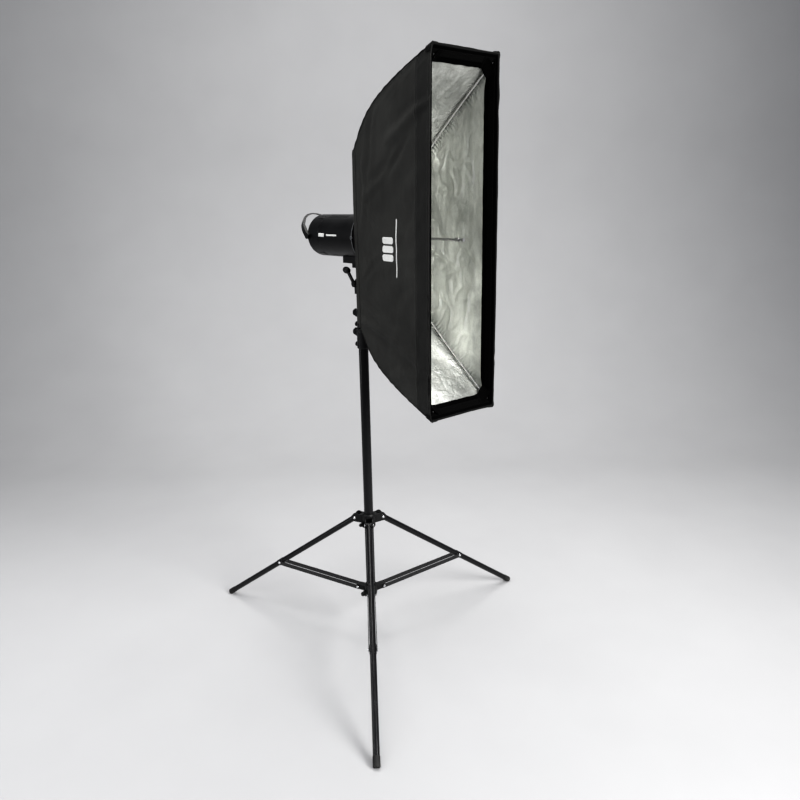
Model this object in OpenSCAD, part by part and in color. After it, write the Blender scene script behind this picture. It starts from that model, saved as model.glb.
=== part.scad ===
// Strip softbox on a studio strobe, carried by a folding three-section light stand.
// Millimetres, +Z up, the light faces -Y. The floor is Z = 0, and the origin is the
// middle of the footprint. Most pieces are drawn about the column axis and then moved.

/* [Softbox] */
// Height of the front opening edge to edge
box_h = 900; // [860:10:940]
// Width of the front opening edge to edge
box_w = 230; // [220:2:250]
// Depth from the rear hem to the front edge
box_d = 368; // [340:4:400]
// Width at the rear hem
box_rear_w = 156; // [150:2:160]
// Height of the flat rear wall
box_rear_h = 480; // [460:5:500]
// Depth of the black band inside the front edge
lip_d = 45; // [40:1:50]
// Thickness of the outer fabric in the model
cloth_t = 2; // [1.5:0.1:2.2]
// Diameter of a spring-steel rib
rib_dia = 4.4; // [3.6:0.2:4.8]

/* [Strobe] */
// Outer diameter of the strobe body
strobe_dia = 127; // [124:0.5:128]
// Height of the light axis above the floor
axis_z = 1349; // [1347:0.5:1350]
// Rearmost face of the bezel behind the column axis
strobe_rear = 196; // [192:1:200]
// How far the softbox hangs below the light axis
box_drop = 6; // [5:0.5:7]
// How far the carrying handle leans back from vertical
handle_lean = 50; // [46:1:54]

/* [Stand] */
// Outer diameter of the lowest column section
base_tube_dia = 30; // [30:0.1:30]
// Outer diameter of the leg tubes
leg_dia = 19; // [18:0.2:19]
// Height of the leg pivots on the sliding hub
hub_z = 431; // [431:1:431]
// Height of the brace pivots on the lower spreader
spreader_z = 173.6; // [173.6:0.1:173.6]
// Radius of the leg pivots about the column
hub_r = 48.3; // [48.3:0.1:48.3]
// Radius of the brace pivots about the column
spreader_r = 46.4; // [46.4:0.1:46.4]
// Angle of an open leg from straight down
leg_open = 53.57; // [53.57:0.01:53.57]
// Angle of an open brace above level
brace_rise = 3.03; // [3.03:0.01:3.03]
// Distance from leg pivot to brace rivet along the leg
brace_at = 404.2; // [404.2:0.1:404.2]
// Direction of the first leg about the column
leg_azimuth = -6.45; // [-10:0.05:10]
// Distance of the column in X from the middle of the footprint
column_x = -123.5; // [-128:0.1:-119]
// Distance of the column in Y from the middle of the footprint
column_y = -34.8; // [-39:0.1:-30]

/* [Hidden] */

$fn = 64;

// ---------- shared helpers ----------
function unit(v) = v / norm(v);
function blend(a, b, t) = a + (b - a) * t;

module on_column() translate([column_x, column_y, 0]) children();
module at_light() on_column() translate([0, 0, axis_z]) children();
module at_box() at_light() translate([0, 0, -box_drop]) children();
// the original and its mirror image
module mirrored(axis) for (m = [0, 1]) mirror(m * axis) children();
// turn local +Z to +X, to +Y, or to direction v with the origin at p
module along_x() rotate([0, 90, 0]) children();
module along_y() rotate([-90, 0, 0]) children();
module along(p, v)
    translate(p) rotate([0, acos(v[2] / norm(v)), atan2(v[1], v[0])]) children();

module cyl_x(r, length) along_x() cylinder(r = r, h = length, center = true);
module cyl_y(r, from, to) translate([0, from, 0]) along_y() cylinder(r = r, h = to - from);
// a box about the Y axis, width in X and height in Z
module box_y(width, height, from, to)
    translate([-width / 2, from, -height / 2]) cube([width, to - from, height]);
module tube(outer_r, inner_r, z, length) difference() {
    translate([0, 0, z]) cylinder(r = outer_r, h = length);
    translate([0, 0, z - 1]) cylinder(r = inner_r, h = length + 2);
}
// local +Z points out from the column, starting at radius r
module radial(azimuth, r, z) rotate([0, 0, azimuth]) translate([r, 0, z]) along_x() children();
// a block out from the column, centred on height z
module radial_block(azimuth, r, z, size)
    rotate([0, 0, azimuth]) translate([r, -size[1] / 2, z - size[2] / 2]) cube(size);
// a pair of rivet heads whose inner faces are at +y and -y
module rivet_heads(y, base_r = 5, tip_r = 3.4, height = 2)
    mirrored([0, 1, 0]) translate([0, y, 0]) along_y()
        cylinder(r1 = base_r, r2 = tip_r, h = height);
// bolt along +Z with its chamfered head at the far end
module cap_bolt(head_r, reach) {
    cylinder(r = pin_r, h = reach);
    translate([0, 0, reach - 10]) cylinder(r = head_r, h = 7);
    translate([0, 0, reach - 3.01]) cylinder(r1 = head_r, r2 = head_r - 2.2, h = 3);
}
// clamping knob: stud along +Z from 0, lobed grip above
module grip_knob(stud_r, stud_l, r, h) {
    cylinder(r = stud_r, h = stud_l + 1);
    difference() {
        union() {
            translate([0, 0, stud_l]) cylinder(r1 = r * 0.62, r2 = r, h = h * 0.35);
            translate([0, 0, stud_l + h * 0.35 - 0.01]) cylinder(r = r, h = h * 0.45);
            translate([0, 0, stud_l + h * 0.8 - 0.02]) cylinder(r1 = r, r2 = r - 2, h = h * 0.2);
        }
        for (a = [0:60:359]) rotate([0, 0, a])
            translate([r + 2.2, 0, stud_l - 1]) cylinder(r = 4, h = h + 3);
    }
}

// ---------- stand ----------
leg_azimuths = [leg_azimuth, leg_azimuth + 120, leg_azimuth + 240];
// the clamp bolts face away from the first leg, the hub knob is between the first two
bolt_azimuth = leg_azimuths[1] + 60;
knob_azimuth = leg_azimuths[1] - 60;
base_r = base_tube_dia / 2;
base_wall = 1.3;
mid_r = 12.5;
top_r = 10.4;
leg_r = leg_dia / 2;
tube_wall = 1.2; // of every tube but the base
slip = 0.03; // clearance of sleeves on tubes
pin_r = 3; // rivets and clamp bolts
pin_hole_r = pin_r + 0.05;
spreader_bolt_z = 162;
hub_bolt_z = 417;
lower_collar_z = 1009;
lower_collar_h = 62;
upper_collar_z = 1072;
upper_collar_h = 59;
collar_bolt_up = 10; // bolt above the bottom of a collar
collar_knob_down = 13; // knob below the top of a collar
brace_y = 11; // inner face of a brace strip
brace_t = 2;
// length of a brace between its pivots
brace_len = norm([hub_r + brace_at * sin(leg_open) - spreader_r,
    hub_z - brace_at * cos(leg_open) - spreader_z]);

module at_leg(k) rotate([0, 0, leg_azimuths[k]]) translate([hub_r, 0, hub_z]) children();
// local +Z runs from the hub pivot to the foot
module down_leg(k) at_leg(k) rotate([0, 180 - leg_open, 0]) children();
module at_brace(k)
    rotate([0, 0, leg_azimuths[k]]) translate([spreader_r, 0, spreader_z]) children();

module base_tube() color("#0d0d0e") on_column() tube(base_r, base_r - base_wall, 150, 890);
module spreader() color("#101011") on_column() difference() {
    union() {
        translate([0, 0, 160]) cylinder(r = 21, h = 30);
        translate([0, 0, 147]) cylinder(r1 = 17.5, r2 = 21, h = 13.01);
        for (k = [0:2]) at_brace(k) {
            translate([-30, -10.6, -8]) cube([30, 21.2, 17]);
            cyl_y(9, -10.6, 10.6);
        }
        radial_block(bolt_azimuth, 16, spreader_bolt_z, [11, 14, 16]);
    }
    translate([0, 0, 140]) cylinder(r = base_r + 0.05, h = 60);
    for (k = [0:2]) at_brace(k) cyl_y(pin_hole_r, -12, 12);
    radial(bolt_azimuth, 14, spreader_bolt_z) cylinder(r = pin_hole_r, h = 20);
}
module spreader_rivets() color("#c9c9cc") on_column() for (k = [0:2]) at_brace(k) {
    cyl_y(pin_r, -13.15, 13.15);
    rivet_heads(13.1);
}
// one on the spreader, one on the lower collar
module base_bolts() color("#141415") on_column() {
    radial(bolt_azimuth, 16.5, spreader_bolt_z) cap_bolt(7.5, 20.8);
    translate([0, 16.5, lower_collar_z + collar_bolt_up]) along_y() cap_bolt(8, 18.4);
}
module leg_hub() color("#101011") on_column() difference() {
    union() {
        translate([0, 0, 409]) cylinder(r = 21.5, h = 40);
        translate([0, 0, 448.99]) cylinder(r1 = 21.5, r2 = 18.5, h = 4);
        translate([0, 0, 404]) cylinder(r1 = 18.5, r2 = 21.5, h = 5.01);
        // cheeks either side of each leg
        for (k = [0:2]) at_leg(k) mirrored([0, 1, 0]) {
            translate([-33, 9.85, -12]) cube([31, 3.6, 28]);
            cyl_y(12, 9.85, 13.45);
            translate([-5, 0, 6]) cyl_y(12, 9.85, 13.45);
        }
        for (k = [0:2]) at_leg(k) translate([-33, -10.5, -12]) cube([14, 21, 28]);
        radial_block(knob_azimuth, 14, hub_z, [15, 18, 22]);
        radial_block(bolt_azimuth, 14, hub_bolt_z, [12, 14, 16]);
    }
    translate([0, 0, 400]) cylinder(r = base_r + 0.06, h = 60);
    for (k = [0:2]) at_leg(k) cyl_y(pin_hole_r, -15, 15);
    radial(knob_azimuth, 12, hub_z) cylinder(r = 4.05, h = 20);
    radial(bolt_azimuth, 13, hub_bolt_z) cylinder(r = pin_hole_r, h = 20);
}
module hub_rivets() color("#c9c9cc") on_column() for (k = [0:2]) at_leg(k) {
    cyl_y(pin_r, -13.6, 13.6);
    rivet_heads(13.5, 5.2, 3.5, 2.2);
}
module hub_bolt() color("#141415") on_column()
    radial(bolt_azimuth, 16.5, hub_bolt_z) cap_bolt(6, 19.8);
module hub_knob() color("#17171a") on_column()
    radial(knob_azimuth, 16.5, hub_z) grip_knob(4, 13.2, 15, 14);

module leg(k) color("#0d0d0e") on_column() down_leg(k) {
    tube(leg_r, leg_r - tube_wall, 14, 688);
    // moulded hinge end, plugged into the tube
    difference() {
        union() {
            rotate([90, 0, 0]) cylinder(r = 9, h = 19, center = true);
            cylinder(r = leg_r - 0.1, h = 13.9);
            translate([0, 0, 13.8]) cylinder(r = leg_r - tube_wall - 0.05, h = 26);
        }
        rotate([90, 0, 0]) cylinder(r = pin_hole_r, h = 24, center = true);
    }
    // saddle that the brace is riveted to
    tube(10.7, leg_r + slip, brace_at - 13, 26);
}
module leg_right() leg(0);
module leg_left() leg(1);
module leg_front() leg(2);
// rubber end over the leg tube, cut flat at the floor
module foot(k) color("#0a0a0a") on_column() difference() {
    down_leg(k) difference() {
        union() {
            translate([0, 0, 690]) cylinder(r = 10.3, h = 25);
            translate([0, 0, 714.99]) cylinder(r1 = 10.3, r2 = 8.6, h = 2.2);
            translate([0, 0, 687.8]) cylinder(r1 = 9.75, r2 = 10.3, h = 2.21);
        }
        translate([0, 0, 680]) cylinder(r = leg_r + slip, h = 22.5);
    }
    translate([-800, -800, -60]) cube([1600, 1600, 60]);
}
module foot_right() foot(0);
module foot_left() foot(1);
module foot_front() foot(2);
// two flat strips with the rivet heads that hold them to the leg saddle
module brace(k) color("#0f0f10") on_column() at_brace(k) rotate([0, -brace_rise, 0]) {
    mirrored([0, 1, 0]) difference() {
        union() {
            translate([0, brace_y, -7]) cube([brace_len, brace_t, 14]);
            for (x = [0, brace_len]) translate([x, 0, 0]) cyl_y(7, brace_y, brace_y + brace_t);
        }
        cyl_y(3.06, 10, 14);
        translate([brace_len, 0, 0]) cyl_y(3, 10, 14);
    }
    translate([brace_len, 0, 0]) {
        mirrored([0, 1, 0]) cyl_y(2.97, 10.85, 13.1);
        rivet_heads(13.05);
    }
}
module brace_right() brace(0);
module brace_left() brace(1);
module brace_front() brace(2);

// split section lock: the lower half grips one tube, the upper half guides the next
module section_collar(z, h, lower_bore, upper_bore, outer_r) difference() {
    union() {
        rotate_extrude() polygon([
            [0, z], [outer_r - 1.5, z], [outer_r, z + 2],
            [outer_r, z + h - 2], [outer_r - 1.5, z + h], [0, z + h]]);
        translate([-9, 5, z + h - 24.5]) cube([18, outer_r + 2, 21]);
        translate([-7, 5, z + 3.5]) cube([14, outer_r, 14]);
    }
    rotate_extrude() polygon([
        [0, z - 1], [lower_bore, z - 1], [lower_bore, z + h / 2],
        [upper_bore, z + h / 2], [upper_bore, z + h + 1], [0, z + h + 1]]);
    translate([-1, 4, z - 1]) cube([2, outer_r + 30, h + 2]);
    for (hole_z = [z + h - collar_knob_down, z + collar_bolt_up])
        translate([0, 8, hole_z]) along_y() cylinder(r = pin_hole_r, h = 40);
}
module lower_collar() color("#101011") on_column()
    section_collar(lower_collar_z, lower_collar_h, base_r + 0.04, mid_r + 0.06, 19);
module lower_knob() color("#17171a") on_column()
    translate([0, 16.5, lower_collar_z + lower_collar_h - collar_knob_down])
        along_y() grip_knob(pin_r, 10.2, 12, 12.5);
module middle_tube() color("#0d0d0e") on_column() tube(mid_r, mid_r - tube_wall, 165, 935);
module middle_bush() color("#2b2b2e") on_column()
    tube(base_r - base_wall - 0.06, mid_r + slip, 165, 30);
module upper_collar() color("#101011") on_column()
    section_collar(upper_collar_z, upper_collar_h, mid_r + 0.04, top_r + 0.06, 17);
module upper_collar_bolt() color("#141415") on_column()
    translate([0, 15, upper_collar_z + collar_bolt_up]) along_y() cap_bolt(8, 18.4);
module upper_knob() color("#17171a") on_column()
    translate([0, 15, upper_collar_z + upper_collar_h - collar_knob_down])
        along_y() grip_knob(pin_r, 9.2, 12, 13);
module top_tube() color("#0d0d0e") on_column() tube(top_r, top_r - tube_wall, 180, 950);
module top_bush() color("#2b2b2e") on_column()
    tube(mid_r - tube_wall - 0.06, top_r + slip, 180, 26);
// plug in the top tube, flange, then a necked stud
spigot_r = 7.94;
module spigot() color("#c3c4c8") on_column() {
    translate([0, 0, 1100]) cylinder(r = top_r - tube_wall - 0.05, h = 31.4);
    translate([0, 0, 1131.3]) cylinder(r = 12.5, h = 3.4);
    translate([0, 0, 1134.6]) cylinder(r = spigot_r, h = 9);
    translate([0, 0, 1143.5]) cylinder(r = 6.4, h = 12);
    translate([0, 0, 1155.4]) cylinder(r = spigot_r, h = 20);
    translate([0, 0, 1175.3]) cylinder(r1 = spigot_r, r2 = 6.6, h = 2.2);
}

// ---------- tilt bracket ----------
tilt_z = 1210; // height of the tilt axis, which lies along X
tilt_bolt_r = 5;
tilt_hole_r = tilt_bolt_r + 0.05;
tilt_ear_r = 14.5;
socket_knob_z = 1160;
socket_stud_r = 3.5;
strobe_r = strobe_dia / 2;

module stand_socket() color("#121213") on_column() difference() {
    union() {
        translate([0, 0, 1135.2]) cylinder(r = 16.5, h = 52);
        translate([-16.4, -14, 1178]) cube([32.8, 28, 14.5]);
        for (x = [-12.9, 12.9]) {
            translate([x, 0, tilt_z]) cyl_x(tilt_ear_r, 7);
            translate([x - 3.5, -tilt_ear_r, 1190]) cube([7, 2 * tilt_ear_r, 20]);
        }
        translate([8, -9, 1150]) cube([16, 18, 20]);
    }
    translate([0, 0, 1134]) cylinder(r = 8, h = 46);
    translate([0, 0, tilt_z]) cyl_x(tilt_hole_r, 60);
    translate([6, 0, socket_knob_z]) along_x() cylinder(r = socket_stud_r + 0.05, h = 30);
}
module socket_knob() color("#17171a") on_column()
    translate([9.5, 0, socket_knob_z]) along_x() grip_knob(socket_stud_r, 15, 13, 13);
module tilt_bolt() color("#b9babd") on_column() translate([0, 0, tilt_z]) {
    cyl_x(tilt_bolt_r, 36);
    translate([-22, 0, 0]) cyl_x(tilt_bolt_r, 12);
    translate([20.4, 0, 0]) along_x() cylinder(r = 9, h = 7.6, center = true, $fn = 6);
}
// hub on the bolt, an arm and a rounded grip
module tilt_lever() color("#141416") on_column() translate([0, 0, tilt_z]) difference() {
    union() {
        translate([-24, 0, 0]) cyl_x(10, 14);
        translate([-31, 0, 0]) cyl_x(8, 3);
        along([-29, 5, 8], [-4, 22, 34]) cylinder(r = 5, h = 36);
        // grip outline as [radius, distance along the grip]
        along([-32.4, 16, 36], [-1, 26, 7]) rotate_extrude() polygon([
            [0, 0], [5, 0.4], [8.6, 4.6], [10.2, 11],
            [10, 17], [8, 22.4], [4.4, 25.4], [0, 26.2]]);
    }
    translate([-18, 0, 0]) cyl_x(tilt_hole_r, 21);
}
// saddle under the strobe with a tongue between the socket ears
module tilt_block() color("#111112") on_column() difference() {
    union() {
        translate([-20, -30, 1269]) cube([40, 94, 24]);
        translate([-9, -14, 1214]) cube([18, 28, 56]);
        translate([-15, -20, 1256]) cube([30, 44, 14]);
        translate([0, 0, tilt_z]) cyl_x(tilt_ear_r, 18);
    }
    translate([0, 0, axis_z]) cyl_y(strobe_r + 0.06, -60, 80);
    translate([0, 0, tilt_z]) cyl_x(tilt_hole_r, 30);
    translate([0, 0, 1244]) cyl_y(4.5, -30, 30);
}

// ---------- strobe ----------
bezel_rear = 176; // rearmost face in the frame of the rear pieces
// places and sizes on the control panel, in X and Z
panel_gap = 0.2;
display_z = 24;
display_size = [34, 16];
dial_z = -6;
dial_shaft_r = 3.5;
button_x = 27;
button_z = -4;
button_r = 5;
switch_x = -22;
switch_z = -30;
inlet_x = 12;
inlet_z = -31.5;
inlet_size = [26, 17];
// lamp sockets in the front
lamp_z = -16;
lamp_pin_r = 4;
flash_r = 30; // centre line of the ring-shaped tube
flash_tube_r = 4;
flash_leg_angle = 14; // each tube leg from straight up

// frame of the rear pieces, on the light axis
module at_rear() at_light() translate([0, strobe_rear - bezel_rear, 0]) children();

module strobe_shell() color("#0c0c0d") on_column() translate([0, 0, axis_z]) difference() {
    union() {
        cyl_y(strobe_r, -46, strobe_rear - 26);
        for (a = [60, 120, 240, 300]) rotate([0, a, 0])
            translate([strobe_r - 1.6, strobe_rear - 58, -7]) cube([2.4, 26, 14]);
    }
    cyl_y(strobe_r - 2.5, -47, strobe_rear - 25);
    // shallow seam groove
    difference() {
        cyl_y(strobe_r + 3, strobe_rear - 64, strobe_rear - 62.8);
        cyl_y(strobe_r - 0.7, strobe_rear - 65, strobe_rear - 62);
    }
    // cooling slots above and below
    for (s = [0:8]) for (a = [-90, 90]) for (t = [-24, 24])
        rotate([0, a, 0]) rotate([0, t, 0])
            translate([strobe_r - 6, 20 + s * 11, -9]) cube([12, 4, 18]);
}
// outline as [radius, y]
module rear_bezel() color("#131314") at_rear() along_y() rotate_extrude($fn = 96)
    polygon(concat(
        [[strobe_r - 2.6, 150.1], [strobe_r, 150.1]],
        [for (t = [0:10:80]) [strobe_r - 9 + 9 * cos(t), 164 + 12 * sin(t)]],
        [[strobe_r - 10, bezel_rear], [52.2, 173], [52.2, 158], [strobe_r - 2.6, 158]]));
module panel_holes() {
    translate([0, 0, display_z])
        box_y(display_size[0] + 2 * panel_gap, display_size[1] + 2 * panel_gap, 150, 180);
    translate([0, 0, dial_z]) cyl_y(dial_shaft_r + 0.1, 150, 180);
    for (x = [-button_x, button_x]) translate([x, 0, button_z]) cyl_y(button_r + 0.1, 150, 180);
    translate([switch_x, 0, switch_z]) box_y(20.4, 13.4, 150, 180);
    translate([inlet_x, 0, inlet_z])
        box_y(inlet_size[0] + 2 * panel_gap, inlet_size[1] + 2 * panel_gap, 150, 180);
}
module control_panel() color("#1b1b1d") at_rear() difference() {
    union() {
        cyl_y(52, 162, 166);
        translate([36, 0, 14]) cyl_y(5, 152, 166.5);
        translate([-36, 0, 14]) cyl_y(5, 164, 167.5);
    }
    panel_holes();
    translate([36, 0, 14]) cyl_y(1.8, 154.5, 170);
}
module display() color("#1d3340") at_rear() translate([0, 0, display_z]) difference() {
    box_y(display_size[0], display_size[1], 159, 165.2);
    box_y(display_size[0] - 5, display_size[1] - 5, 164.6, 166.6);
}
module dial() color("#222225") at_rear() translate([0, 0, dial_z]) difference() {
    union() {
        cyl_y(dial_shaft_r, 154, 168);
        cyl_y(11.5, 166.4, 169);
        cyl_y(10.5, 168.9, 176.5);
        translate([0, 176.4, 0]) along_y() cylinder(r1 = 10.5, r2 = 9.4, h = 1.1);
    }
    // grip flutes and the pointer notch
    for (a = [0:15:359]) rotate([0, a, 0]) translate([11.3, 0, 0]) cyl_y(1, 169.5, 178);
    translate([-0.7, 176.6, 3]) cube([1.4, 3, 6]);
}
module push_button() {
    cyl_y(button_r, 160, 168.2);
    cyl_y(7, 157.5, 160.1);
    translate([0, 168.1, 0]) along_y() cylinder(r1 = button_r, r2 = button_r - 0.8, h = 0.8);
}
module flash_button() color("#7a1712") at_rear()
    translate([-button_x, 0, button_z]) push_button();
module lamp_button() color("#d7d7d2") at_rear()
    translate([button_x, 0, button_z]) push_button();
// rocker about an axis along X
module power_switch() color("#101010") at_rear()
    translate([switch_x, 160, switch_z]) intersection() {
        difference() {
            cyl_x(9.4, 19.8);
            translate([0, 19.2, 0]) cyl_x(12, 24);
        }
        box_y(24, 11.2, -4, 16);
    }
module mains_inlet() color("#0f0f10") at_rear() translate([inlet_x, 0, inlet_z]) difference() {
    union() {
        box_y(inlet_size[0], inlet_size[1], 146, 166.6);
        box_y(30, 20.4, 166.2, 167.8);
    }
    // recess, leaving three contact blades
    difference() {
        box_y(22, 13, 150, 170);
        for (x = [-6, 0, 6]) translate([x - 1, 148, x == 0 ? -2.6 : -0.4]) cube([2, 16, 5]);
    }
}
// half-elliptical arch between two side bosses
module handle() color("#0b0b0c") at_rear() difference() {
    translate([0, 164, 0]) {
        rotate([-handle_lean, 0, 0]) for (start = [0:30:150])
            hull() for (t = [start:7.5:start + 30])
                translate([68 * cos(t), 0, 92 * sin(t)]) rotate([0, -t, 0])
                    cube([7, 16, 0.6], center = true);
        for (x = [-67.5, 67.5]) translate([x, 0, 0]) cyl_x(9.5, 8);
    }
    cyl_y(strobe_r + 0.1, 100, 250);
}
module front_mount_ring() color("#9b9ca0") at_light() difference() {
    union() {
        cyl_y(strobe_r - 2.56, -46.3, -38);
        cyl_y(strobe_r - 1, -52, -46.1);
        cyl_y(54, -59.5, -51.9);
    }
    cyl_y(49, -61, -37);
    for (a = [0:120:359]) rotate([0, a, 0]) translate([50, -60.5, -7]) cube([6, 5, 14]);
}
module at_flash_legs()
    for (s = [-1, 1]) rotate([0, s * flash_leg_angle, 0]) translate([0, 0, flash_r]) children();
module lamp_plate() color("#d9d9d6") at_light() difference() {
    union() {
        cyl_y(48.7, -42, -38.5);
        cyl_y(7, -50, 62);
        translate([0, 0, lamp_z]) cyl_y(8, -47, -30);
    }
    cyl_y(3.6, -52, 58);
    translate([0, 0, lamp_z]) cyl_y(lamp_pin_r + 0.1, -49, -38);
    at_flash_legs() cyl_y(flash_tube_r + 0.3, -45, -30);
}
module flash_tube() color("#e8ecef") at_light() {
    translate([0, -60, 0]) along_y() rotate([0, 0, flash_leg_angle - 90])
        rotate_extrude(angle = 360 - 2 * flash_leg_angle)
            translate([flash_r, 0]) circle(r = flash_tube_r, $fn = 32);
    at_flash_legs() cyl_y(flash_tube_r, -60, -36);
}
module modelling_lamp() color("#f3e9cf") at_light() translate([0, 0, lamp_z]) {
    cyl_y(lamp_pin_r, -50, -40);
    cyl_y(6.5, -72, -49.9);
    translate([0, -72, 0]) sphere(r = 6.5, $fn = 32);
}
module accessory_rod() color("#1a1a1b") at_light() {
    cyl_y(3.5, -432, 30);
    cyl_y(5.2, -424, -410);
    cyl_y(4.4, -440, -431.9);
}
module cooling_fan() color("#1c1c1e") at_rear() {
    cyl_y(13, 122, 136);
    for (a = [0:45:359]) rotate([0, a, 0])
        translate([11, 129, 0]) rotate([28, 0, 0]) cube([27, 1.6, 13]);
}
module capacitor() color("#26324a") at_light() for (x = [-23, 23]) translate([x, 0, -30]) {
    cyl_y(20, 0, 96);
    cyl_y(17, -3, 0.1);
    for (t = [-6, 6]) translate([t, 0, 0]) cyl_y(3, -7, -2.9);
}
module circuit_board() color("#1f5a36") at_light() difference() {
    union() {
        translate([-46, -20, 24]) cube([92, 128, 1.6]);
        translate([-30, 20, 25.5]) cube([22, 26, 16]);
        translate([6, 10, 25.5]) cube([26, 34, 12]);
        for (y = [56, 72, 88]) translate([-20, y, 25.5]) cylinder(r = 5.5, h = 14);
        translate([8, 60, 25.5]) cube([28, 22, 8]);
    }
    for (x = [-40, 40]) for (y = [-12, 100]) translate([x, y, 20]) cylinder(r = 1.6, h = 10);
}

// ---------- softbox ----------
rear_half_w = box_rear_w / 2;
front_half_w = box_w / 2;
rear_half_h = box_rear_h / 2;
front_half_h = box_h / 2;
rear_y = -80; // rear hem
wall_open_z = 88; // half height of the opening in the rear wall
sheet_gap = 0.1; // between the side panels and the top and bottom ones
rib_r = rib_dia / 2;
rib_start = [44, rear_y - 12, 66]; // upper right socket, from the light axis

// Outlines of the top edge are lists of [y, z, half width].
// how far the profile has risen, for u from 0 at the rear hem to 1 at the front edge
function rise(u) = sqrt(u) * (1 - exp(-12 * u));
function edge_point(u) = [
    rear_y - box_d * u,
    blend(rear_half_h, front_half_h, rise(u) / rise(1)),
    blend(rear_half_w, front_half_w, u)];
// stations packed towards the rear, where the profile bends most
outer_edge = [for (i = [0:18]) edge_point(pow(i / 18, 1.7))];
rear_wall = [for (t = [0, 0.33, 0.66, 0.93])
    [rear_y, blend(wall_open_z, rear_half_h, t), rear_half_w]];
function tangent(path, i) =
    let (a = path[max(i - 1, 0)], b = path[min(i + 1, len(path) - 1)])
    unit([b[0] - a[0], b[1] - a[1]]);
// [y, z] of point i moved into the box, square to the path
function inset(path, i, depth) =
    let (t = tangent(path, i)) [path[i][0] - t[1] * depth, path[i][1] + t[0] * depth];

function shifted(rows, move) = [for (row = rows) [for (v = row) v + move]];
// two triangles over four point numbers
function quad(a, b, c, d) = [[a, b, c], [a, c, d]];
// closed thin sheet between two faces, each a list of rows of two points
module sheet(face, back) {
    last = len(face) - 1;
    function on_face(i, j) = 2 * i + j;
    function on_back(i, j) = 2 * (last + 1 + i) + j;
    strips = [for (i = [0:last - 1]) each concat(
        quad(on_face(i, 0), on_face(i + 1, 0), on_face(i + 1, 1), on_face(i, 1)),
        quad(on_back(i, 0), on_back(i, 1), on_back(i + 1, 1), on_back(i + 1, 0)),
        quad(on_face(i, 0), on_back(i, 0), on_back(i + 1, 0), on_face(i + 1, 0)),
        quad(on_face(i, 1), on_face(i + 1, 1), on_back(i + 1, 1), on_back(i, 1)))];
    ends = concat(
        quad(on_face(0, 0), on_face(0, 1), on_back(0, 1), on_back(0, 0)),
        quad(on_face(last, 0), on_back(last, 0), on_back(last, 1), on_face(last, 1)));
    polyhedron(points = [for (row = concat(face, back)) each row],
        faces = concat(strips, ends), convexity = 6);
}

module side_panel() {
    face = [for (i = [0:len(outer_edge) - 1])
        let (x = outer_edge[i][2], edge = inset(outer_edge, i, sheet_gap))
        [[x, edge[0], -edge[1]], [x, edge[0], edge[1]]]];
    sheet(face, shifted(face, [-cloth_t, 0, 0]));
}
module side_panel_left() color("#2c2c2a") at_box() mirror([1, 0, 0]) side_panel();
module side_panel_right() color("#2c2c2a") at_box() side_panel();
// up the rear wall and over to the front, between the side panels
module cap_panel() {
    path = concat(rear_wall, outer_edge);
    function rows(depth) = [for (i = [0:len(path) - 1])
        let (edge = inset(path, i, depth), x = path[i][2] - cloth_t - 0.4)
        [[x, edge[0], edge[1]], [-x, edge[0], edge[1]]]];
    sheet(rows(sheet_gap), rows(sheet_gap + cloth_t));
}
module top_panel() color("#262625") at_box() cap_panel();
module bottom_panel() color("#262625") at_box() mirror([0, 0, 1]) cap_panel();

// slight outward bow of the lining and the ribs
function bow(q) = q + 0.04 * sin(180 * q);
// the lining is a funnel of its own, from the ring (q = 0) to the front edge (q = 1)
function funnel_line(steps, start = 0) = [for (i = [0:steps])
    let (q = blend(start, 1, i / steps)) [
        rear_y - 16 - (box_d - 17) * q,
        blend(92, front_half_h - 5, bow(q)),
        blend(58, front_half_w - 5, q)]];
// depth is from the funnel to the sheet, trim shortens the sheet at each edge
module funnel_sides(line, depth, thickness, trim) {
    face = [for (v = line) [for (s = [-1, 1]) [v[2] - depth, v[0], s * (v[1] - trim)]]];
    mirrored([1, 0, 0]) sheet(face, shifted(face, [-thickness, 0, 0]));
}
module funnel_caps(line, depth, thickness, trim) {
    face = [for (v = line) [for (s = [1, -1]) [s * (v[2] - trim), v[0], v[1] - depth]]];
    mirrored([0, 0, 1]) sheet(face, shifted(face, [0, 0, -thickness]));
}
module lining() color("#b4b6b3") at_box() {
    line = funnel_line(12);
    funnel_sides(line, depth = 0, thickness = 1, trim = 1.6);
    funnel_caps(line, depth = 0, thickness = 1.4, trim = 1.3);
}
module front_lip() color("#060606") at_box() {
    line = funnel_line(3, 1 - lip_d / box_d);
    funnel_sides(line, depth = 1.3, thickness = 1.4, trim = 4.4);
    funnel_caps(line, depth = 1.7, thickness = 1.8, trim = 3);
}

// centre line of a rib from its socket to the front corner, lower = 0 above, 1 below;
// a lower rib is drawn upwards and then mirrored, so the drop changes sign
function rib_line(lower) =
    let (start_z = rib_start[2] + (lower == 0 ? 1 : -1) * box_drop)
    [for (i = [0:12]) let (q = i / 12) [
        blend(rib_start[0], front_half_w - 17, q),
        rib_start[1] - (box_d - 22) * q,
        blend(start_z, front_half_h - 24, bow(q))]];
function rib_direction(lower) = let (line = rib_line(lower)) unit(line[1] - line[0]);
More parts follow.
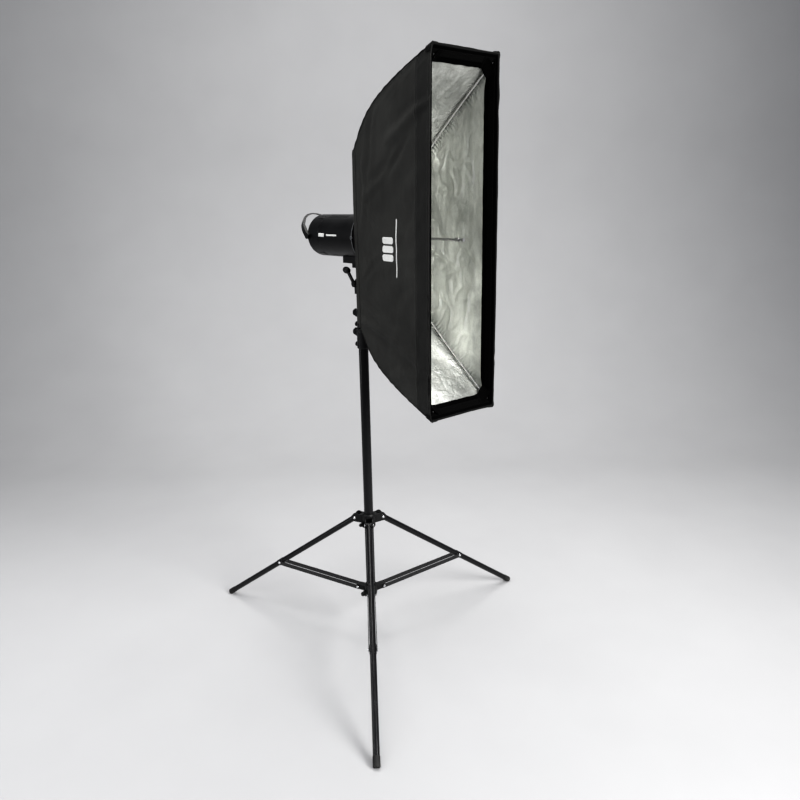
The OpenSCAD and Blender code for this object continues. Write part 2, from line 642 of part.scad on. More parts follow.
// upper right, mirrored to all four corners; $lower is 1 for the lower ones
module each_corner() for (mx = [0, 1]) for (mz = [0, 1]) {
    $lower = mz;
    mirror([mx, 0, 0]) mirror([0, 0, mz]) children();
}
module rod_along(line, r, sides) {
    last = len(line) - 1;
    points = [for (i = [0:last])
        let (t = unit(line[min(i + 1, last)] - line[max(i - 1, 0)]),
            e = unit(cross(t, [1, 0, 0])),
            f = unit(cross(t, e)))
        for (j = [0:sides - 1])
            let (a = j * 360 / sides) line[i] + r * (cos(a) * e + sin(a) * f)];
    skin = [for (i = [0:last - 1]) for (j = [0:sides - 1])
        let (k = (j + 1) % sides, here = i * sides, next = here + sides)
        each quad(here + j, here + k, next + k, next + j)];
    ends = [[for (j = [sides - 1:-1:0]) j], [for (j = [0:sides - 1]) last * sides + j]];
    polyhedron(points = points, faces = concat(skin, ends), convexity = 8);
}
module ribs() color("#8f9196") at_box() each_corner() rod_along(rib_line($lower), rib_r, 8);
// all four follow the end of an upper rib
module corner_pockets() color("#0b0b0b") at_box() {
    line = rib_line(0);
    tip = line[len(line) - 1];
    direction = unit(tip - line[len(line) - 2]);
    each_corner() difference() {
        along(tip - 14 * direction, direction) cylinder(r = 4.5, h = 18, $fn = 32);
        along(tip - 15 * direction, direction) cylinder(r = rib_r + 0.5, h = 16, $fn = 32);
    }
}
module ring_adapter() color("#8d8e92") at_light() difference() {
    union() {
        cyl_y(59.92, -76.2, -60.2);
        cyl_y(66, -79.5, -76.1);
        for (a = [0:120:359]) rotate([0, a, 0]) translate([50.2, -60.3, -5]) cube([4.6, 2, 10]);
    }
    cyl_y(50, -81, -57);
}
// cylinder along a rib, starting a distance back from its socket
module at_rib_socket(r, back, length) {
    direction = rib_direction($lower);
    along(rib_start - back * direction, direction) cylinder(r = r, h = length, $fn = 32);
}
module speed_ring() color("#9a9b9f") at_light() difference() {
    union() {
        cyl_y(80, -75.9, -64);
        cyl_y(76, -64.01, -62);
        each_corner() {
            at_rib_socket(r = 6.4, back = 7, length = 20);
            translate([37, -92, 58]) cube([14, 17, 12]);
        }
        for (a = [0:90:359]) rotate([0, a, 0])
            translate([70, -70, 0]) along_x() cylinder(r = 5, h = 14.5);
    }
    cyl_y(60, -80, -60);
    cyl_y(66.2, -82, -75.9);
    each_corner() at_rib_socket(r = rib_r + 0.4, back = 2.5, length = 30);
    for (a = [0:90:359]) rotate([0, a, 0])
        translate([58, -70, 0]) along_x() cylinder(r = 2.1, h = 40);
}

base_tube();
spreader();
spreader_rivets();
base_bolts();
leg_hub();
hub_rivets();
hub_bolt();
hub_knob();
leg_right();
leg_left();
leg_front();
foot_right();
foot_left();
foot_front();
brace_right();
brace_left();
brace_front();
lower_collar();
lower_knob();
middle_tube();
middle_bush();
upper_collar();
upper_collar_bolt();
upper_knob();
top_tube();
top_bush();
spigot();
stand_socket();
socket_knob();
tilt_bolt();
tilt_lever();
tilt_block();
strobe_shell();
rear_bezel();
control_panel();
display();
dial();
flash_button();
lamp_button();
power_switch();
mains_inlet();
handle();
front_mount_ring();
lamp_plate();
flash_tube();
modelling_lamp();
accessory_rod();
cooling_fan();
capacitor();
circuit_board();
speed_ring();
ring_adapter();
ribs();
side_panel_left();
side_panel_right();
top_panel();
bottom_panel();
lining();
front_lip();
corner_pockets();
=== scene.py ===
"""A studio strobe with a tall softbox, on a three-legged stand.

Metres, +Z up. The column stands on the axis (AXIS_X, AXIS_Y). The softbox opens to the front, -Y,
and the strobe's control panel faces the rear, +Y. Left is -X.
"""
import bpy
import math
import numpy as np
from mathutils import Vector, Matrix, noise


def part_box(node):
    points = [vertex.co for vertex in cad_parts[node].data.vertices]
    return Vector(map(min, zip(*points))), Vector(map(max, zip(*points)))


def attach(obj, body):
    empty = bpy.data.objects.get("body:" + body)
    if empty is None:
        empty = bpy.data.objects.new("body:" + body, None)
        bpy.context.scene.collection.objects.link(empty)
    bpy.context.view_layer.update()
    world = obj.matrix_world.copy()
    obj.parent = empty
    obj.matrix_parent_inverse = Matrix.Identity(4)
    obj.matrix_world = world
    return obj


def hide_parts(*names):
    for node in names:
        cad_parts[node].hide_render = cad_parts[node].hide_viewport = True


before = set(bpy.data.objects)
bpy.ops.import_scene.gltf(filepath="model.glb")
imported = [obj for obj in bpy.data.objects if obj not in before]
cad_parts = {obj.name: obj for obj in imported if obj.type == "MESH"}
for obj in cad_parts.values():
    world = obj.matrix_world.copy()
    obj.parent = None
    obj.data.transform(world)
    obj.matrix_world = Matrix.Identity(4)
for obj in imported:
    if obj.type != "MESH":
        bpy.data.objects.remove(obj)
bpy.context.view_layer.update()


# ------------------------------------------------------------------ driving dimensions
column_low, column_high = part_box("base_tube")
left_low, left_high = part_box("side_panel_left")
right_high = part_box("side_panel_right")[1]
shell_low, shell_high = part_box("strobe_shell")

AXIS_X = (column_low[0] + column_high[0]) / 2
AXIS_Y = (column_low[1] + column_high[1]) / 2
LIGHT_Z = (shell_low[2] + shell_high[2]) / 2  # the strobe's axis
BOX_Z = (left_low[2] + left_high[2]) / 2  # the softbox's centre
LIGHT_RISE = LIGHT_Z - BOX_Z

REAR_Y = left_high[1]  # rear wall of the softbox
DEPTH = left_high[1] - left_low[1]
FRONT_HALF_W = (right_high[0] - left_low[0]) / 2
FRONT_HALF_H = (left_high[2] - left_low[2]) / 2
REAR_HALF_W, REAR_HALF_H = 0.078, 0.240
OPENING_HALF_H = 0.088  # the opening in the rear wall

BAND_SEAM = 0.057  # from the front edge back to the outer band's seam
BAND_DEPTH = 0.045  # the black band inside the front edge
HEM_STITCH = 0.0085  # from the front edge to its row of stitches
EDGE_STITCH = 0.0095  # from a curved corner seam to the stitches beside it
STITCH_ROWS = (0.0548, 0.0634, HEM_STITCH)  # rows across a panel, from the front edge
STITCH_LIFT = 0.0002

LINER_Y = -0.016  # rear end of the silver liner, and its half sizes
LINER_HALF_H, LINER_HALF_W = 0.092, 0.058
LINER_RUN = DEPTH - 0.017
LINER_INSET = 0.005  # inside the outer cloth at the front

RIB_X, RIB_Y = 0.044, -0.012  # rear ends of the four ribs
RIB_Z = 0.066  # from the strobe's axis
RIB_RUN = DEPTH - 0.022
RIB_RADIUS = 0.0022

SKIRT_RADIUS = 0.0812
COLLAR_RADIUS = 0.0770

# (vertical sign, sideways sign, name) of the softbox's corners
CORNERS = [(up, side, a + "_" + b)
           for up, a in ((1, "top"), (-1, "bottom"))
           for side, b in ((-1, "left"), (1, "right"))]


# ------------------------------------------------------------------ curves and positions
def lerp(a, b, t):
    return a + (b - a) * t


def smooth01(x):
    x = max(0.0, min(1.0, x))
    return x * x * (3 - 2 * x)


def bell(x, centre, width):
    return math.exp(-((x - centre) / width) ** 2)


def fbm(x, y, z, octaves=4):
    return noise.fractal(Vector((x, y, z)), 0.9, 2.1, octaves)


def crowded(count, share):
    """Stations from -1 to 1, closer together at the ends as share grows."""
    even = [-1 + 2 * i / (count - 1) for i in range(count)]
    return [share * math.sin(math.pi / 2 * s) + (1 - share) * s for s in even]


def at(x, y, z):
    """A point measured from the centre of the softbox's rear wall."""
    return Vector((AXIS_X + x, REAR_Y + y, BOX_Z + z))


def flare(u):
    return np.sqrt(np.maximum(u, 0.0)) * (1 - np.exp(-12 * u))


def half_height(u):
    """Half height of the outer cloth. u runs from 0 at the rear to 1 at the front."""
    return lerp(REAR_HALF_H, FRONT_HALF_H, flare(u) / flare(1.0))


def half_width(u):
    return lerp(REAR_HALF_W, FRONT_HALF_W, u)


def bulged(q):
    return q + 0.04 * math.sin(math.pi * q)


def liner(q):
    """The liner's corner line from the ring to the front edge: (y, half height, half width)."""
    return (LINER_Y - LINER_RUN * q,
            lerp(LINER_HALF_H, FRONT_HALF_H - LINER_INSET, bulged(q)),
            lerp(LINER_HALF_W, FRONT_HALF_W - LINER_INSET, q))


def rib_point(q, rear_z):
    return (lerp(RIB_X, FRONT_HALF_W - 0.017, q), RIB_Y - RIB_RUN * q,
            lerp(rear_z, FRONT_HALF_H - 0.024, bulged(q)))


def with_normals(path):
    """Adds the outward normal and arc length to a path: (y, z, half width, ny, nz, arc)."""
    rows, arc = [], 0.0
    for i, (y, z, width) in enumerate(path):
        before, after = path[max(i - 1, 0)], path[min(i + 1, len(path) - 1)]
        dy, dz = after[0] - before[0], after[1] - before[1]
        length = math.hypot(dy, dz)
        if i:
            arc += math.hypot(y - path[i - 1][0], z - path[i - 1][1])
        rows.append((y, z, width, dz / length, -dy / length, arc))
    return rows


def liner_rows(count):
    """Stations of the liner: (q, y, z, half width, ny, nz, arc)."""
    rows = with_normals([liner(i / count) for i in range(count + 1)])
    return [(i / count, *row) for i, row in enumerate(rows)]


# (height from -1 to 1, outward bow) of the left front edge
BOW_HEIGHT, BOW = zip(
    (-1, 0.001), (-0.985, 0.005), (-0.93, 0.0095), (-0.5, 0.0085), (0, 0.0065),
    (0.5, 0.0035), (0.93, 0.0), (0.985, -0.004), (1, -0.007))


def hang(verts):
    """Bows the left front edge and leans the whole front a few millimetres to -X."""
    verts = np.array([tuple(v) for v in verts], dtype=np.float64)
    u = np.clip((REAR_Y - verts[:, 1]) / DEPTH, 0, 1)
    v = np.clip((verts[:, 2] - BOX_Z) / half_height(u), -1, 1)
    side = np.clip(-(verts[:, 0] - AXIS_X) / half_width(u), 0, 1)
    verts[:, 0] -= 0.0030 * u ** 1.2 + np.interp(v, BOW_HEIGHT, BOW) * u ** 2 * side ** 1.5
    return verts


# ------------------------------------------------------------------ material kit
INPUTS = {"color": "Base Color", "rough": "Roughness", "metal": "Metallic",
          "sheen": "Sheen Weight", "sheen_rough": "Sheen Roughness", "sheen_tint": "Sheen Tint",
          "spec": "Specular IOR Level", "coat": "Coat Weight", "coat_rough": "Coat Roughness",
          "trans": "Transmission Weight", "ior": "IOR"}


def shade(color, gain, lift=0.0):
    return tuple(min(1, c * gain + lift) for c in color)


class Material:
    """A Principled material. Bevels and bumps chain into one normal in the order they're added."""

    def __init__(self, name):
        self.data = bpy.data.materials.new(name)
        self.data.use_nodes = True
        self.tree = self.data.node_tree
        self.tree.nodes.clear()
        output = self.node("OutputMaterial")
        self.shader = self.node("BsdfPrincipled")
        self.connect(output, 0, self.shader.outputs[0])
        self.normal = None
        self.coords = self.node("TexCoord").outputs

    def node(self, kind, inputs=None, **props):
        node = self.tree.nodes.new("ShaderNode" + kind)
        for key, value in props.items():
            setattr(node, key, value)
        for key, value in (inputs or {}).items():
            self.connect(node, key, value)
        return node

    def connect(self, node, key, value):
        socket = node.inputs[key]
        if isinstance(value, bpy.types.NodeSocket):
            self.tree.links.new(value, socket)
        elif socket.type == "RGBA" and len(value) == 3:
            socket.default_value = (*value, 1)
        else:
            socket.default_value = value

    def surface(self, **values):
        for key, value in values.items():
            self.connect(self.shader, INPUTS[key], value)

    def calc(self, operation, a, b=0.0, clamp=False):
        return self.node("Math", {0: a, 1: b, 2: 0.0}, operation=operation,
                         use_clamp=clamp).outputs[0]

    def multiply(self, a, b, clamp=False):
        return self.calc("MULTIPLY", a, b, clamp)

    def vector(self, operation, inputs, output):
        return self.node("VectorMath", inputs, operation=operation).outputs[output]

    def split(self, vector):
        return self.node("SeparateXYZ", {0: vector}).outputs

    def mapped(self, source, scale, turn=(0, 0, 0)):
        return self.node("Mapping", {"Vector": self.coords[source], "Scale": scale,
                                     "Rotation": turn}).outputs[0]

    def object(self, scale=(1, 1, 1), turn=(0, 0, 0)):
        return self.mapped("Object", scale, turn)

    def uv(self, scale=(1, 1, 1)):
        return self.mapped("UV", scale)

    def noise(self, scale, detail=3.0, rough=0.55, distort=0.0, stretch=(1, 1, 1), vector=None):
        if vector is None:
            vector = self.object(stretch)
        return self.node("TexNoise", {"Vector": vector, "Scale": scale, "Detail": detail,
                                      "Roughness": rough, "Distortion": distort}).outputs["Fac"]

    def voronoi(self, scale, feature="F1", stretch=(1, 1, 1)):
        return self.node("TexVoronoi", {"Vector": self.object(stretch), "Scale": scale,
                                        "Randomness": 1.0}, feature=feature).outputs["Distance"]

    def remap(self, value, source, target=(0, 1)):
        """Maps the source range onto the target range."""
        return self.node("MapRange", {
            "Value": value, "From Min": source[0], "From Max": source[1],
            "To Min": target[0], "To Max": target[1]}).outputs[0]

    def mix(self, factor, a, b):
        return self.node("Mix", {"Factor": factor, 6: a, 7: b}, data_type="RGBA").outputs[2]

    def bend(self, node):
        self.normal = node.outputs[0]
        self.connect(self.shader, "Normal", self.normal)

    def bump(self, height, depth, strength=1.0):
        node = self.node("Bump", {"Height": height, "Distance": depth, "Strength": strength})
        if self.normal is not None:
            self.connect(node, "Normal", self.normal)
        self.bend(node)

    def bevel(self, radius):
        self.bend(self.node("Bevel", {"Radius": radius}, samples=4))

    def edge(self, radius):
        """0 on flat faces, rising to 1 on an edge that wear would rub."""
        flat = self.node("NewGeometry").outputs["Normal"]
        rounded = self.node("Bevel", {"Radius": radius}, samples=4).outputs[0]
        facing = self.vector("DOT_PRODUCT", {0: rounded, 1: flat}, "Value")
        return self.remap(facing, (1.0, 0.93))

    def weave(self, pitch):
        """Plain weave height from UVs in metres: threads pass over and under each other."""
        across = self.split(self.uv((1 / pitch, 1 / pitch, 1)))
        waves = [self.calc("SINE", self.multiply(across[i], math.pi)) for i in range(2)]
        over = self.calc("GREATER_THAN", self.multiply(*waves), 0.0)
        warp, weft = [self.calc("ABSOLUTE", wave) for wave in waves]
        return self.calc("ADD", self.multiply(warp, over),
                         self.multiply(weft, self.calc("SUBTRACT", 1.0, over)))


# ------------------------------------------------------------------ material kinds
NYLON_PITCH = 0.0011


def nylon(name, color, pitch=NYLON_PITCH, rough=0.58, sheen=0.05, spec=0.16, lint=0.05):
    """Woven cloth, faintly mottled and specked with lint."""
    m = Material(name)
    weave = m.weave(pitch)
    blotch = m.noise(scale=5.5, detail=4, rough=0.6)
    fine = m.noise(scale=900, detail=2, rough=0.6, vector=m.uv())
    tone = m.mix(m.remap(blotch, (0.3, 0.72)), shade(color, 0.72), shade(color, 1.28, lift=0.001))
    gaps = m.multiply(m.remap(weave, (0.0, 0.55), (1, 0)), 0.45)
    tone = m.mix(gaps, tone, shade(color, 0.35))
    specks = m.remap(m.voronoi(scale=260), (0.0, 0.035), (1.0, 0.0))
    patches = m.remap(m.noise(scale=22, detail=2), (0.52, 0.7), (0, lint))
    tone = m.mix(m.multiply(specks, patches), tone, (0.25, 0.24, 0.22))
    m.surface(color=tone, rough=m.remap(fine, (0.3, 0.7), (rough - 0.06, rough + 0.08)),
              sheen=sheen, sheen_rough=0.45, sheen_tint=(0.95, 0.95, 0.92), spec=spec)
    m.bump(m.noise(scale=60, detail=3, rough=0.6), depth=0.0012, strength=0.35)
    m.bump(weave, depth=0.00016, strength=0.7)
    return m.data


def silver(name, crumple, bright):
    """Aluminised coating on cloth, its broad metallic lobe broken up by creases."""
    m = Material(name)
    clouds = m.noise(scale=7, detail=5, rough=0.62, distort=0.9, stretch=(1, 1, 0.5))
    streak = m.noise(scale=30, detail=4, rough=0.6, distort=0.6, stretch=(1, 1, 0.28))
    cells = m.voronoi(scale=75, feature="DISTANCE_TO_EDGE", stretch=(1, 1, 0.8))
    cracks = m.remap(cells, (0.0, 0.06), (1.0, 0.0))
    micro = m.noise(scale=1100, detail=2, rough=0.7, vector=m.uv())
    sparkle = m.noise(scale=420, detail=3, rough=0.75)
    weave = m.weave(0.0012)
    # bright scales every tone of the cloth; a copy with a lower value is painted shade, not a
    # darker cloth
    light = shade((1.22, 1.235, 1.18), bright)
    tone = m.mix(m.remap(clouds, (0.34, 0.66)), shade((0.46, 0.475, 0.45), bright), light)
    tone = m.mix(m.remap(streak, (0.35, 0.65), (0, 0.55)), tone, shade(light, 0.5))
    tone = m.mix(m.multiply(cracks, 0.10 * crumple), tone, shade((0.4, 0.4, 0.38), bright))
    rough = m.remap(m.noise(scale=34, detail=3), (0.3, 0.7), (0.28, 0.44))
    m.surface(color=tone, metal=0.72, rough=rough, spec=0.6)
    folds = m.noise(scale=14, detail=4, rough=0.6, distort=0.9, stretch=(1, 1, 0.5))
    m.bump(folds, depth=0.010, strength=0.5)
    m.bump(streak, depth=0.0030, strength=0.4)
    m.bump(m.noise(scale=65, detail=4, rough=0.65, distort=0.5), depth=0.0025,
           strength=0.26 * crumple)
    m.bump(cells, depth=0.0016, strength=0.16 * crumple)
    m.bump(sparkle, depth=0.0010, strength=0.28 * crumple)
    m.bump(micro, depth=0.0002, strength=0.5)
    m.bump(weave, depth=0.00012, strength=0.4)
    return m.data


def paint(name, color, rough, peel, coat, spec, wear=0.5, grain=2600):
    """Sprayed coat with an orange-peel surface, rubbed to metal on its edges."""
    m = Material(name)
    edge_radius = 0.0006
    m.bevel(edge_radius)
    edge = m.edge(edge_radius * 1.6)
    patches = m.remap(m.noise(scale=55, detail=4, rough=0.65), (0.5, 0.66), (0, wear))
    worn = m.multiply(edge, patches, clamp=True)
    smear = m.noise(scale=18, detail=4, rough=0.6, stretch=(1, 1, 0.15))
    tone = m.mix(m.remap(smear, (0.3, 0.7)), shade(color, 0.8), shade(color, 1.25))
    tone = m.mix(worn, tone, (0.32, 0.32, 0.33))
    lines = m.noise(scale=420, detail=2, rough=0.5, stretch=(1, 1, 0.02))
    scratches = m.remap(lines, (0.68, 0.74), (0, 0.35))
    gloss = m.remap(smear, (0.25, 0.75), (rough - 0.05, rough + 0.09))
    m.surface(color=tone, rough=m.calc("ADD", gloss, m.multiply(scratches, 0.25)),
              coat=coat, coat_rough=0.18, spec=spec,
              metal=m.calc("MAXIMUM", m.multiply(worn, 0.8), 0.0))
    m.bump(m.noise(scale=grain, detail=2, rough=0.5), depth=0.00004, strength=peel)
    return m.data


def plastic(name, color, rough=0.5, grain=1500, depth=0.00006, spec=0.45, coat=0.0):
    """Moulded plastic with a pebbled grain, pale edges and a little dust."""
    m = Material(name)
    edge_radius, wear = 0.0007, 0.25
    m.bevel(edge_radius)
    edge = m.edge(edge_radius * 1.5)
    blotch = m.noise(scale=30, detail=3, rough=0.6)
    tone = m.mix(m.remap(blotch, (0.3, 0.7)), shade(color, 0.82), shade(color, 1.2, lift=0.001))
    patches = m.remap(m.noise(scale=120, detail=3), (0.45, 0.65), (0.15 * wear, wear))
    tone = m.mix(m.multiply(edge, patches, clamp=True), tone, shade(color, 2.5, lift=0.05))
    dust = m.remap(m.noise(scale=300, detail=4, rough=0.7), (0.62, 0.75), (0, 0.08))
    tone = m.mix(dust, tone, (0.35, 0.34, 0.32))
    m.surface(color=tone, rough=m.remap(blotch, (0.25, 0.75), (rough - 0.06, rough + 0.08)),
              spec=spec, coat=coat, coat_rough=0.12)
    m.bump(m.voronoi(scale=grain), depth=depth, strength=0.6)
    return m.data


def metal(name, color, rough, dirt, brushed=(1, 1, 0.03), depth=0.00002):
    """Bare metal with fine brush lines and grime."""
    m = Material(name)
    m.bevel(0.0004)
    line = m.noise(scale=1500, detail=2, rough=0.6, stretch=brushed)
    grime = m.remap(m.noise(scale=90, detail=4, rough=0.7), (0.5, 0.75), (0, dirt))
    tone = m.mix(m.remap(line, (0.3, 0.7)), shade(color, 0.86), shade(color, 1.1))
    tone = m.mix(grime, tone, shade(color, 0.35))
    gloss = m.remap(line, (0.3, 0.7), (rough - 0.05, rough + 0.08))
    m.surface(color=tone, metal=1.0, rough=m.calc("ADD", gloss, m.multiply(grime, 0.4)))
    m.bump(line, depth=depth, strength=0.4)
    return m.data


def rubber(name, color):
    """Matt rubber, dusty near the floor."""
    m = Material(name)
    m.bevel(0.0008)
    blotch = m.noise(scale=40, detail=4, rough=0.6)
    near_floor = m.remap(m.split(m.object())[2], (0.0, 0.02), (0.5, 0.0))
    dust = m.remap(m.noise(scale=220, detail=4, rough=0.7), (0.4, 0.7))
    tone = m.mix(m.remap(blotch, (0.3, 0.7)), shade(color, 0.8), shade(color, 1.3))
    tone = m.mix(m.multiply(dust, near_floor), tone, (0.16, 0.15, 0.14))
    m.surface(color=tone, rough=0.72, spec=0.3)
    m.bump(m.noise(scale=1200, detail=3, rough=0.6), depth=0.00012, strength=0.5)
    return m.data


def webbing(name, color):
    """Coarse woven tape with ridges."""
    m = Material(name)
    weave = m.weave(0.0022)
    ridges = m.calc("ABSOLUTE", m.calc("SINE", m.multiply(m.split(m.uv())[0], 1500)))
    tone = m.mix(m.remap(weave, (0, 1)), shade(color, 0.4), shade(color, 1.4))
    m.surface(color=tone, rough=0.85, sheen=0.0, spec=0.04)
    m.bump(ridges, depth=0.0003, strength=0.4)
    m.bump(weave, depth=0.0004, strength=0.8)
    return m.data


def fuzz(name, color):
    """Short tangled loops."""
    m = Material(name)
    tufts = m.voronoi(scale=1100)
    tangle = m.noise(scale=500, detail=4, rough=0.7)
    tone = m.mix(m.remap(tangle, (0.3, 0.7)), shade(color, 0.5), shade(color, 1.7))
    m.surface(color=tone, rough=0.95, sheen=0.01, sheen_rough=0.6, spec=0.03)
    m.bump(tufts, depth=0.0006, strength=0.9)
    m.bump(tangle, depth=0.0006, strength=0.7)
    return m.data


def thread(name, color):
    """Twisted sewing thread."""
    m = Material(name)
    slanted = m.split(m.object(turn=(0.6, 0.6, 0)))[0]
    twist = m.calc("SINE", m.multiply(slanted, 9000))
    tone = m.mix(m.remap(twist, (-1, 1)), shade(color, 0.6), shade(color, 1.4))
    m.surface(color=tone, rough=0.6, sheen=0.4, spec=0.3)
    m.bump(twist, depth=0.0001, strength=0.6)
    return m.data


def printed(name, color):
    """Pale screen print, slightly thin where it crosses the cloth's threads."""
    m = Material(name)
    weave = m.weave(NYLON_PITCH)
    patches = m.remap(m.noise(scale=300, detail=4, rough=0.7), (0.35, 0.75), (0, 0.4))
    tone = m.mix(patches, color, shade(color, 0.6))
    tone = m.mix(m.remap(weave, (0.0, 0.3), (0.35, 0.0)), tone, shade(color, 0.5))
    m.surface(color=tone, rough=0.62, spec=0.3)
    m.bump(weave, depth=0.0001, strength=0.5)
    return m.data


def glass(name, color):
    """Clear glass with slight waviness."""
    m = Material(name)
    haze = m.noise(scale=45, detail=3, rough=0.5)
    m.surface(color=m.mix(haze, color, shade(color, 1.05)),
              rough=m.remap(haze, (0.3, 0.7), (0.05, 0.12)), trans=0.9, ior=1.46, spec=0.5)
    m.bump(m.noise(scale=25, detail=2), depth=0.0004, strength=0.15)
    return m.data


def brace_paint(name, angle):
    """Black enamel, with bare metal on the rivet heads at the brace's outer pivot."""
    m = Material(name)
    m.bevel(0.0005)
    pivot_radius, pivot_z = 0.3735, 0.1909
    half_thickness, reach = 0.01303, 0.03  # rivets stand outside the strips, near the pivot
    pivot = (AXIS_X + pivot_radius * math.cos(angle), AXIS_Y + pivot_radius * math.sin(angle),
             pivot_z)
    across = (-math.sin(angle), math.cos(angle), 0)
    offset = m.vector("SUBTRACT", {0: m.object(), 1: pivot}, 0)
    sideways = m.calc("ABSOLUTE", m.vector("DOT_PRODUCT", {0: offset, 1: across}, "Value"))
    distance = m.vector("LENGTH", {0: offset}, "Value")
    rivet = m.multiply(m.calc("GREATER_THAN", sideways, half_thickness),
                       m.calc("LESS_THAN", distance, reach))
    smear = m.noise(scale=40, detail=3, rough=0.6)
    black = m.mix(m.remap(smear, (0.3, 0.7)), (0.005, 0.005, 0.0055), (0.009, 0.009, 0.0095))
    line = m.noise(scale=900, detail=2, rough=0.6)
    bright = m.mix(line, (0.55, 0.55, 0.56), (0.75, 0.75, 0.76))
    m.surface(color=m.mix(rivet, black, bright), metal=rivet,
              rough=m.remap(smear, (0.3, 0.7), (0.22, 0.34)),
              coat=m.multiply(m.calc("SUBTRACT", 1.0, rivet), 0.3))
    m.bump(m.noise(scale=2600, detail=2, rough=0.5), depth=0.00004, strength=0.35)
    return m.data


MATERIALS = {
    "tube": paint("powder_coat_black", (0.0055, 0.0055, 0.006), rough=0.22, peel=0.4, coat=0.12,
                  spec=0.30),
    "casting": plastic("moulded_black", (0.0055, 0.0055, 0.0058), rough=0.40, grain=1400,
                       depth=0.0001, spec=0.30),
    "knob": plastic("knob_black", (0.0050, 0.0050, 0.0053), rough=0.36, spec=0.30, grain=1100,
                    depth=0.00008),
    "steel": metal("zinc_plate", (0.66, 0.66, 0.67), rough=0.22, dirt=0.25),
    "foot": rubber("foot_rubber", (0.014, 0.014, 0.014)),
    "bush": plastic("acetal_grey", (0.10, 0.10, 0.105), rough=0.45),
    "shell": paint("strobe_satin", (0.0040, 0.0040, 0.0042), rough=0.34, peel=0.7, coat=0.04,
                   spec=0.32, wear=0.35, grain=1700),
    "trim": plastic("strobe_trim", (0.0050, 0.0050, 0.0053), rough=0.38, spec=0.30, grain=1200),
    "panel": plastic("panel_grey", (0.042, 0.042, 0.045), rough=0.46, grain=1600),
    "window": plastic("smoked_window", (0.008, 0.030, 0.042), rough=0.12, grain=300,
                      depth=0.00001, coat=1.0),
    "red": plastic("red_cap", (0.38, 0.018, 0.012), rough=0.3, coat=0.4),
    "white": plastic("white_cap", (0.62, 0.62, 0.58), rough=0.34, coat=0.3),
    "alloy": metal("cast_alloy", (0.20, 0.205, 0.21), rough=0.5, brushed=(1, 1, 1),
                   depth=0.0001, dirt=0.2),
    "ceramic": plastic("lamp_ceramic", (0.68, 0.67, 0.63), rough=0.55),
    "quartz": glass("quartz", (0.95, 0.96, 0.97)),
    "rod": metal("rod_steel", (0.30, 0.30, 0.30), rough=0.30, dirt=0.1),
    "can": plastic("sleeve_blue", (0.02, 0.035, 0.12), rough=0.25, coat=0.6),
    "board": plastic("solder_mask", (0.012, 0.09, 0.035), rough=0.35, coat=0.5),
    "rib": metal("spring_steel", (0.80, 0.80, 0.79), rough=0.28, dirt=0.12),
    "nylon": nylon("nylon_charcoal", (0.0315, 0.0315, 0.0292)),
    "nylon_dark": nylon("nylon_front_band", (0.0175, 0.0175, 0.0165), rough=0.62),
    "nylon_edge": nylon("nylon_binding", (0.0045, 0.0045, 0.0045), pitch=0.0009, rough=0.7,
                        sheen=0.02, spec=0.12),
    "lip": nylon("nylon_black_band", (0.0013, 0.0013, 0.0013), rough=0.9, sheen=0.0, spec=0.02,
                 lint=0.008),
    "silver": silver("silver_lining", crumple=1.2, bright=0.80),
    # the top and bottom linings take this darker copy of the same silver (bright 0.56 against
    # 0.80): painted shade; their heavier crumpling is the cloth's own
    "silver_crumpled_shaded": silver("silver_lining_crumpled_shaded", crumple=2.6, bright=0.56),
    "webbing": webbing("black_webbing", (0.0016, 0.0016, 0.0016)),
    "loop": fuzz("loop_tape", (0.0018, 0.0018, 0.0018)),
    "thread": thread("thread_black", (0.013, 0.013, 0.0125)),
    "print": printed("pale_print", (0.70, 0.70, 0.68)),
}


# ------------------------------------------------------------------ mesh kit
def build(name, mesh, material, body="softbox", uvs=None, dark_faces=None,
          thickness=None, offset=-1.0, replaces=None):
    """Makes an object from (verts, faces). Faces flagged in dark_faces take the darker nylon."""
    verts, faces = mesh
    if body == "softbox":
        verts = hang(verts)
    data = bpy.data.meshes.new(name)
    data.from_pydata([tuple(map(float, v)) for v in verts], [], faces)
    data.validate()
    if uvs is not None:
        layer = data.uv_layers.new(name="cloth")
        index = np.empty(len(data.loops), dtype=np.int32)
        data.loops.foreach_get("vertex_index", index)
        layer.data.foreach_set("uv", np.asarray(uvs, dtype=np.float32)[index].ravel())
    data.materials.append(MATERIALS[material])
    if dark_faces is not None:
        data.materials.append(MATERIALS["nylon_dark"])
        data.polygons.foreach_set("material_index", np.asarray(dark_faces, dtype=np.int32))
    data.shade_smooth()
    obj = bpy.data.objects.new(name, data)
    bpy.context.scene.collection.objects.link(obj)
    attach(obj, body)
    if thickness is not None:
        solid = obj.modifiers.new("thickness", "SOLIDIFY")
        solid.thickness = thickness
        solid.offset = offset
    if replaces is not None:
        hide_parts(replaces)


def grid_faces(rows, columns, wrap=False, flip=False):
    faces = []
    for i in range(rows - 1):
        for j in range(columns if wrap else columns - 1):
            k = (j + 1) % columns
            quad = (i * columns + j, (i + 1) * columns + j, (i + 1) * columns + k, i * columns + k)
            faces.append(quad[::-1] if flip else quad)
    return faces


def tube_faces(rings, sides, closed=False):
    """Faces round a tube. It's capped at both ends, or closed into a loop."""
    faces = []
    for i in range(rings if closed else rings - 1):
        after = (i + 1) % rings
        for j in range(sides):
            k = (j + 1) % sides
            faces.append((i * sides + j, i * sides + k, after * sides + k, after * sides + j))
    if not closed:
        faces.append(tuple(range(sides))[::-1])
        faces.append(tuple((rings - 1) * sides + j for j in range(sides)))
    return faces


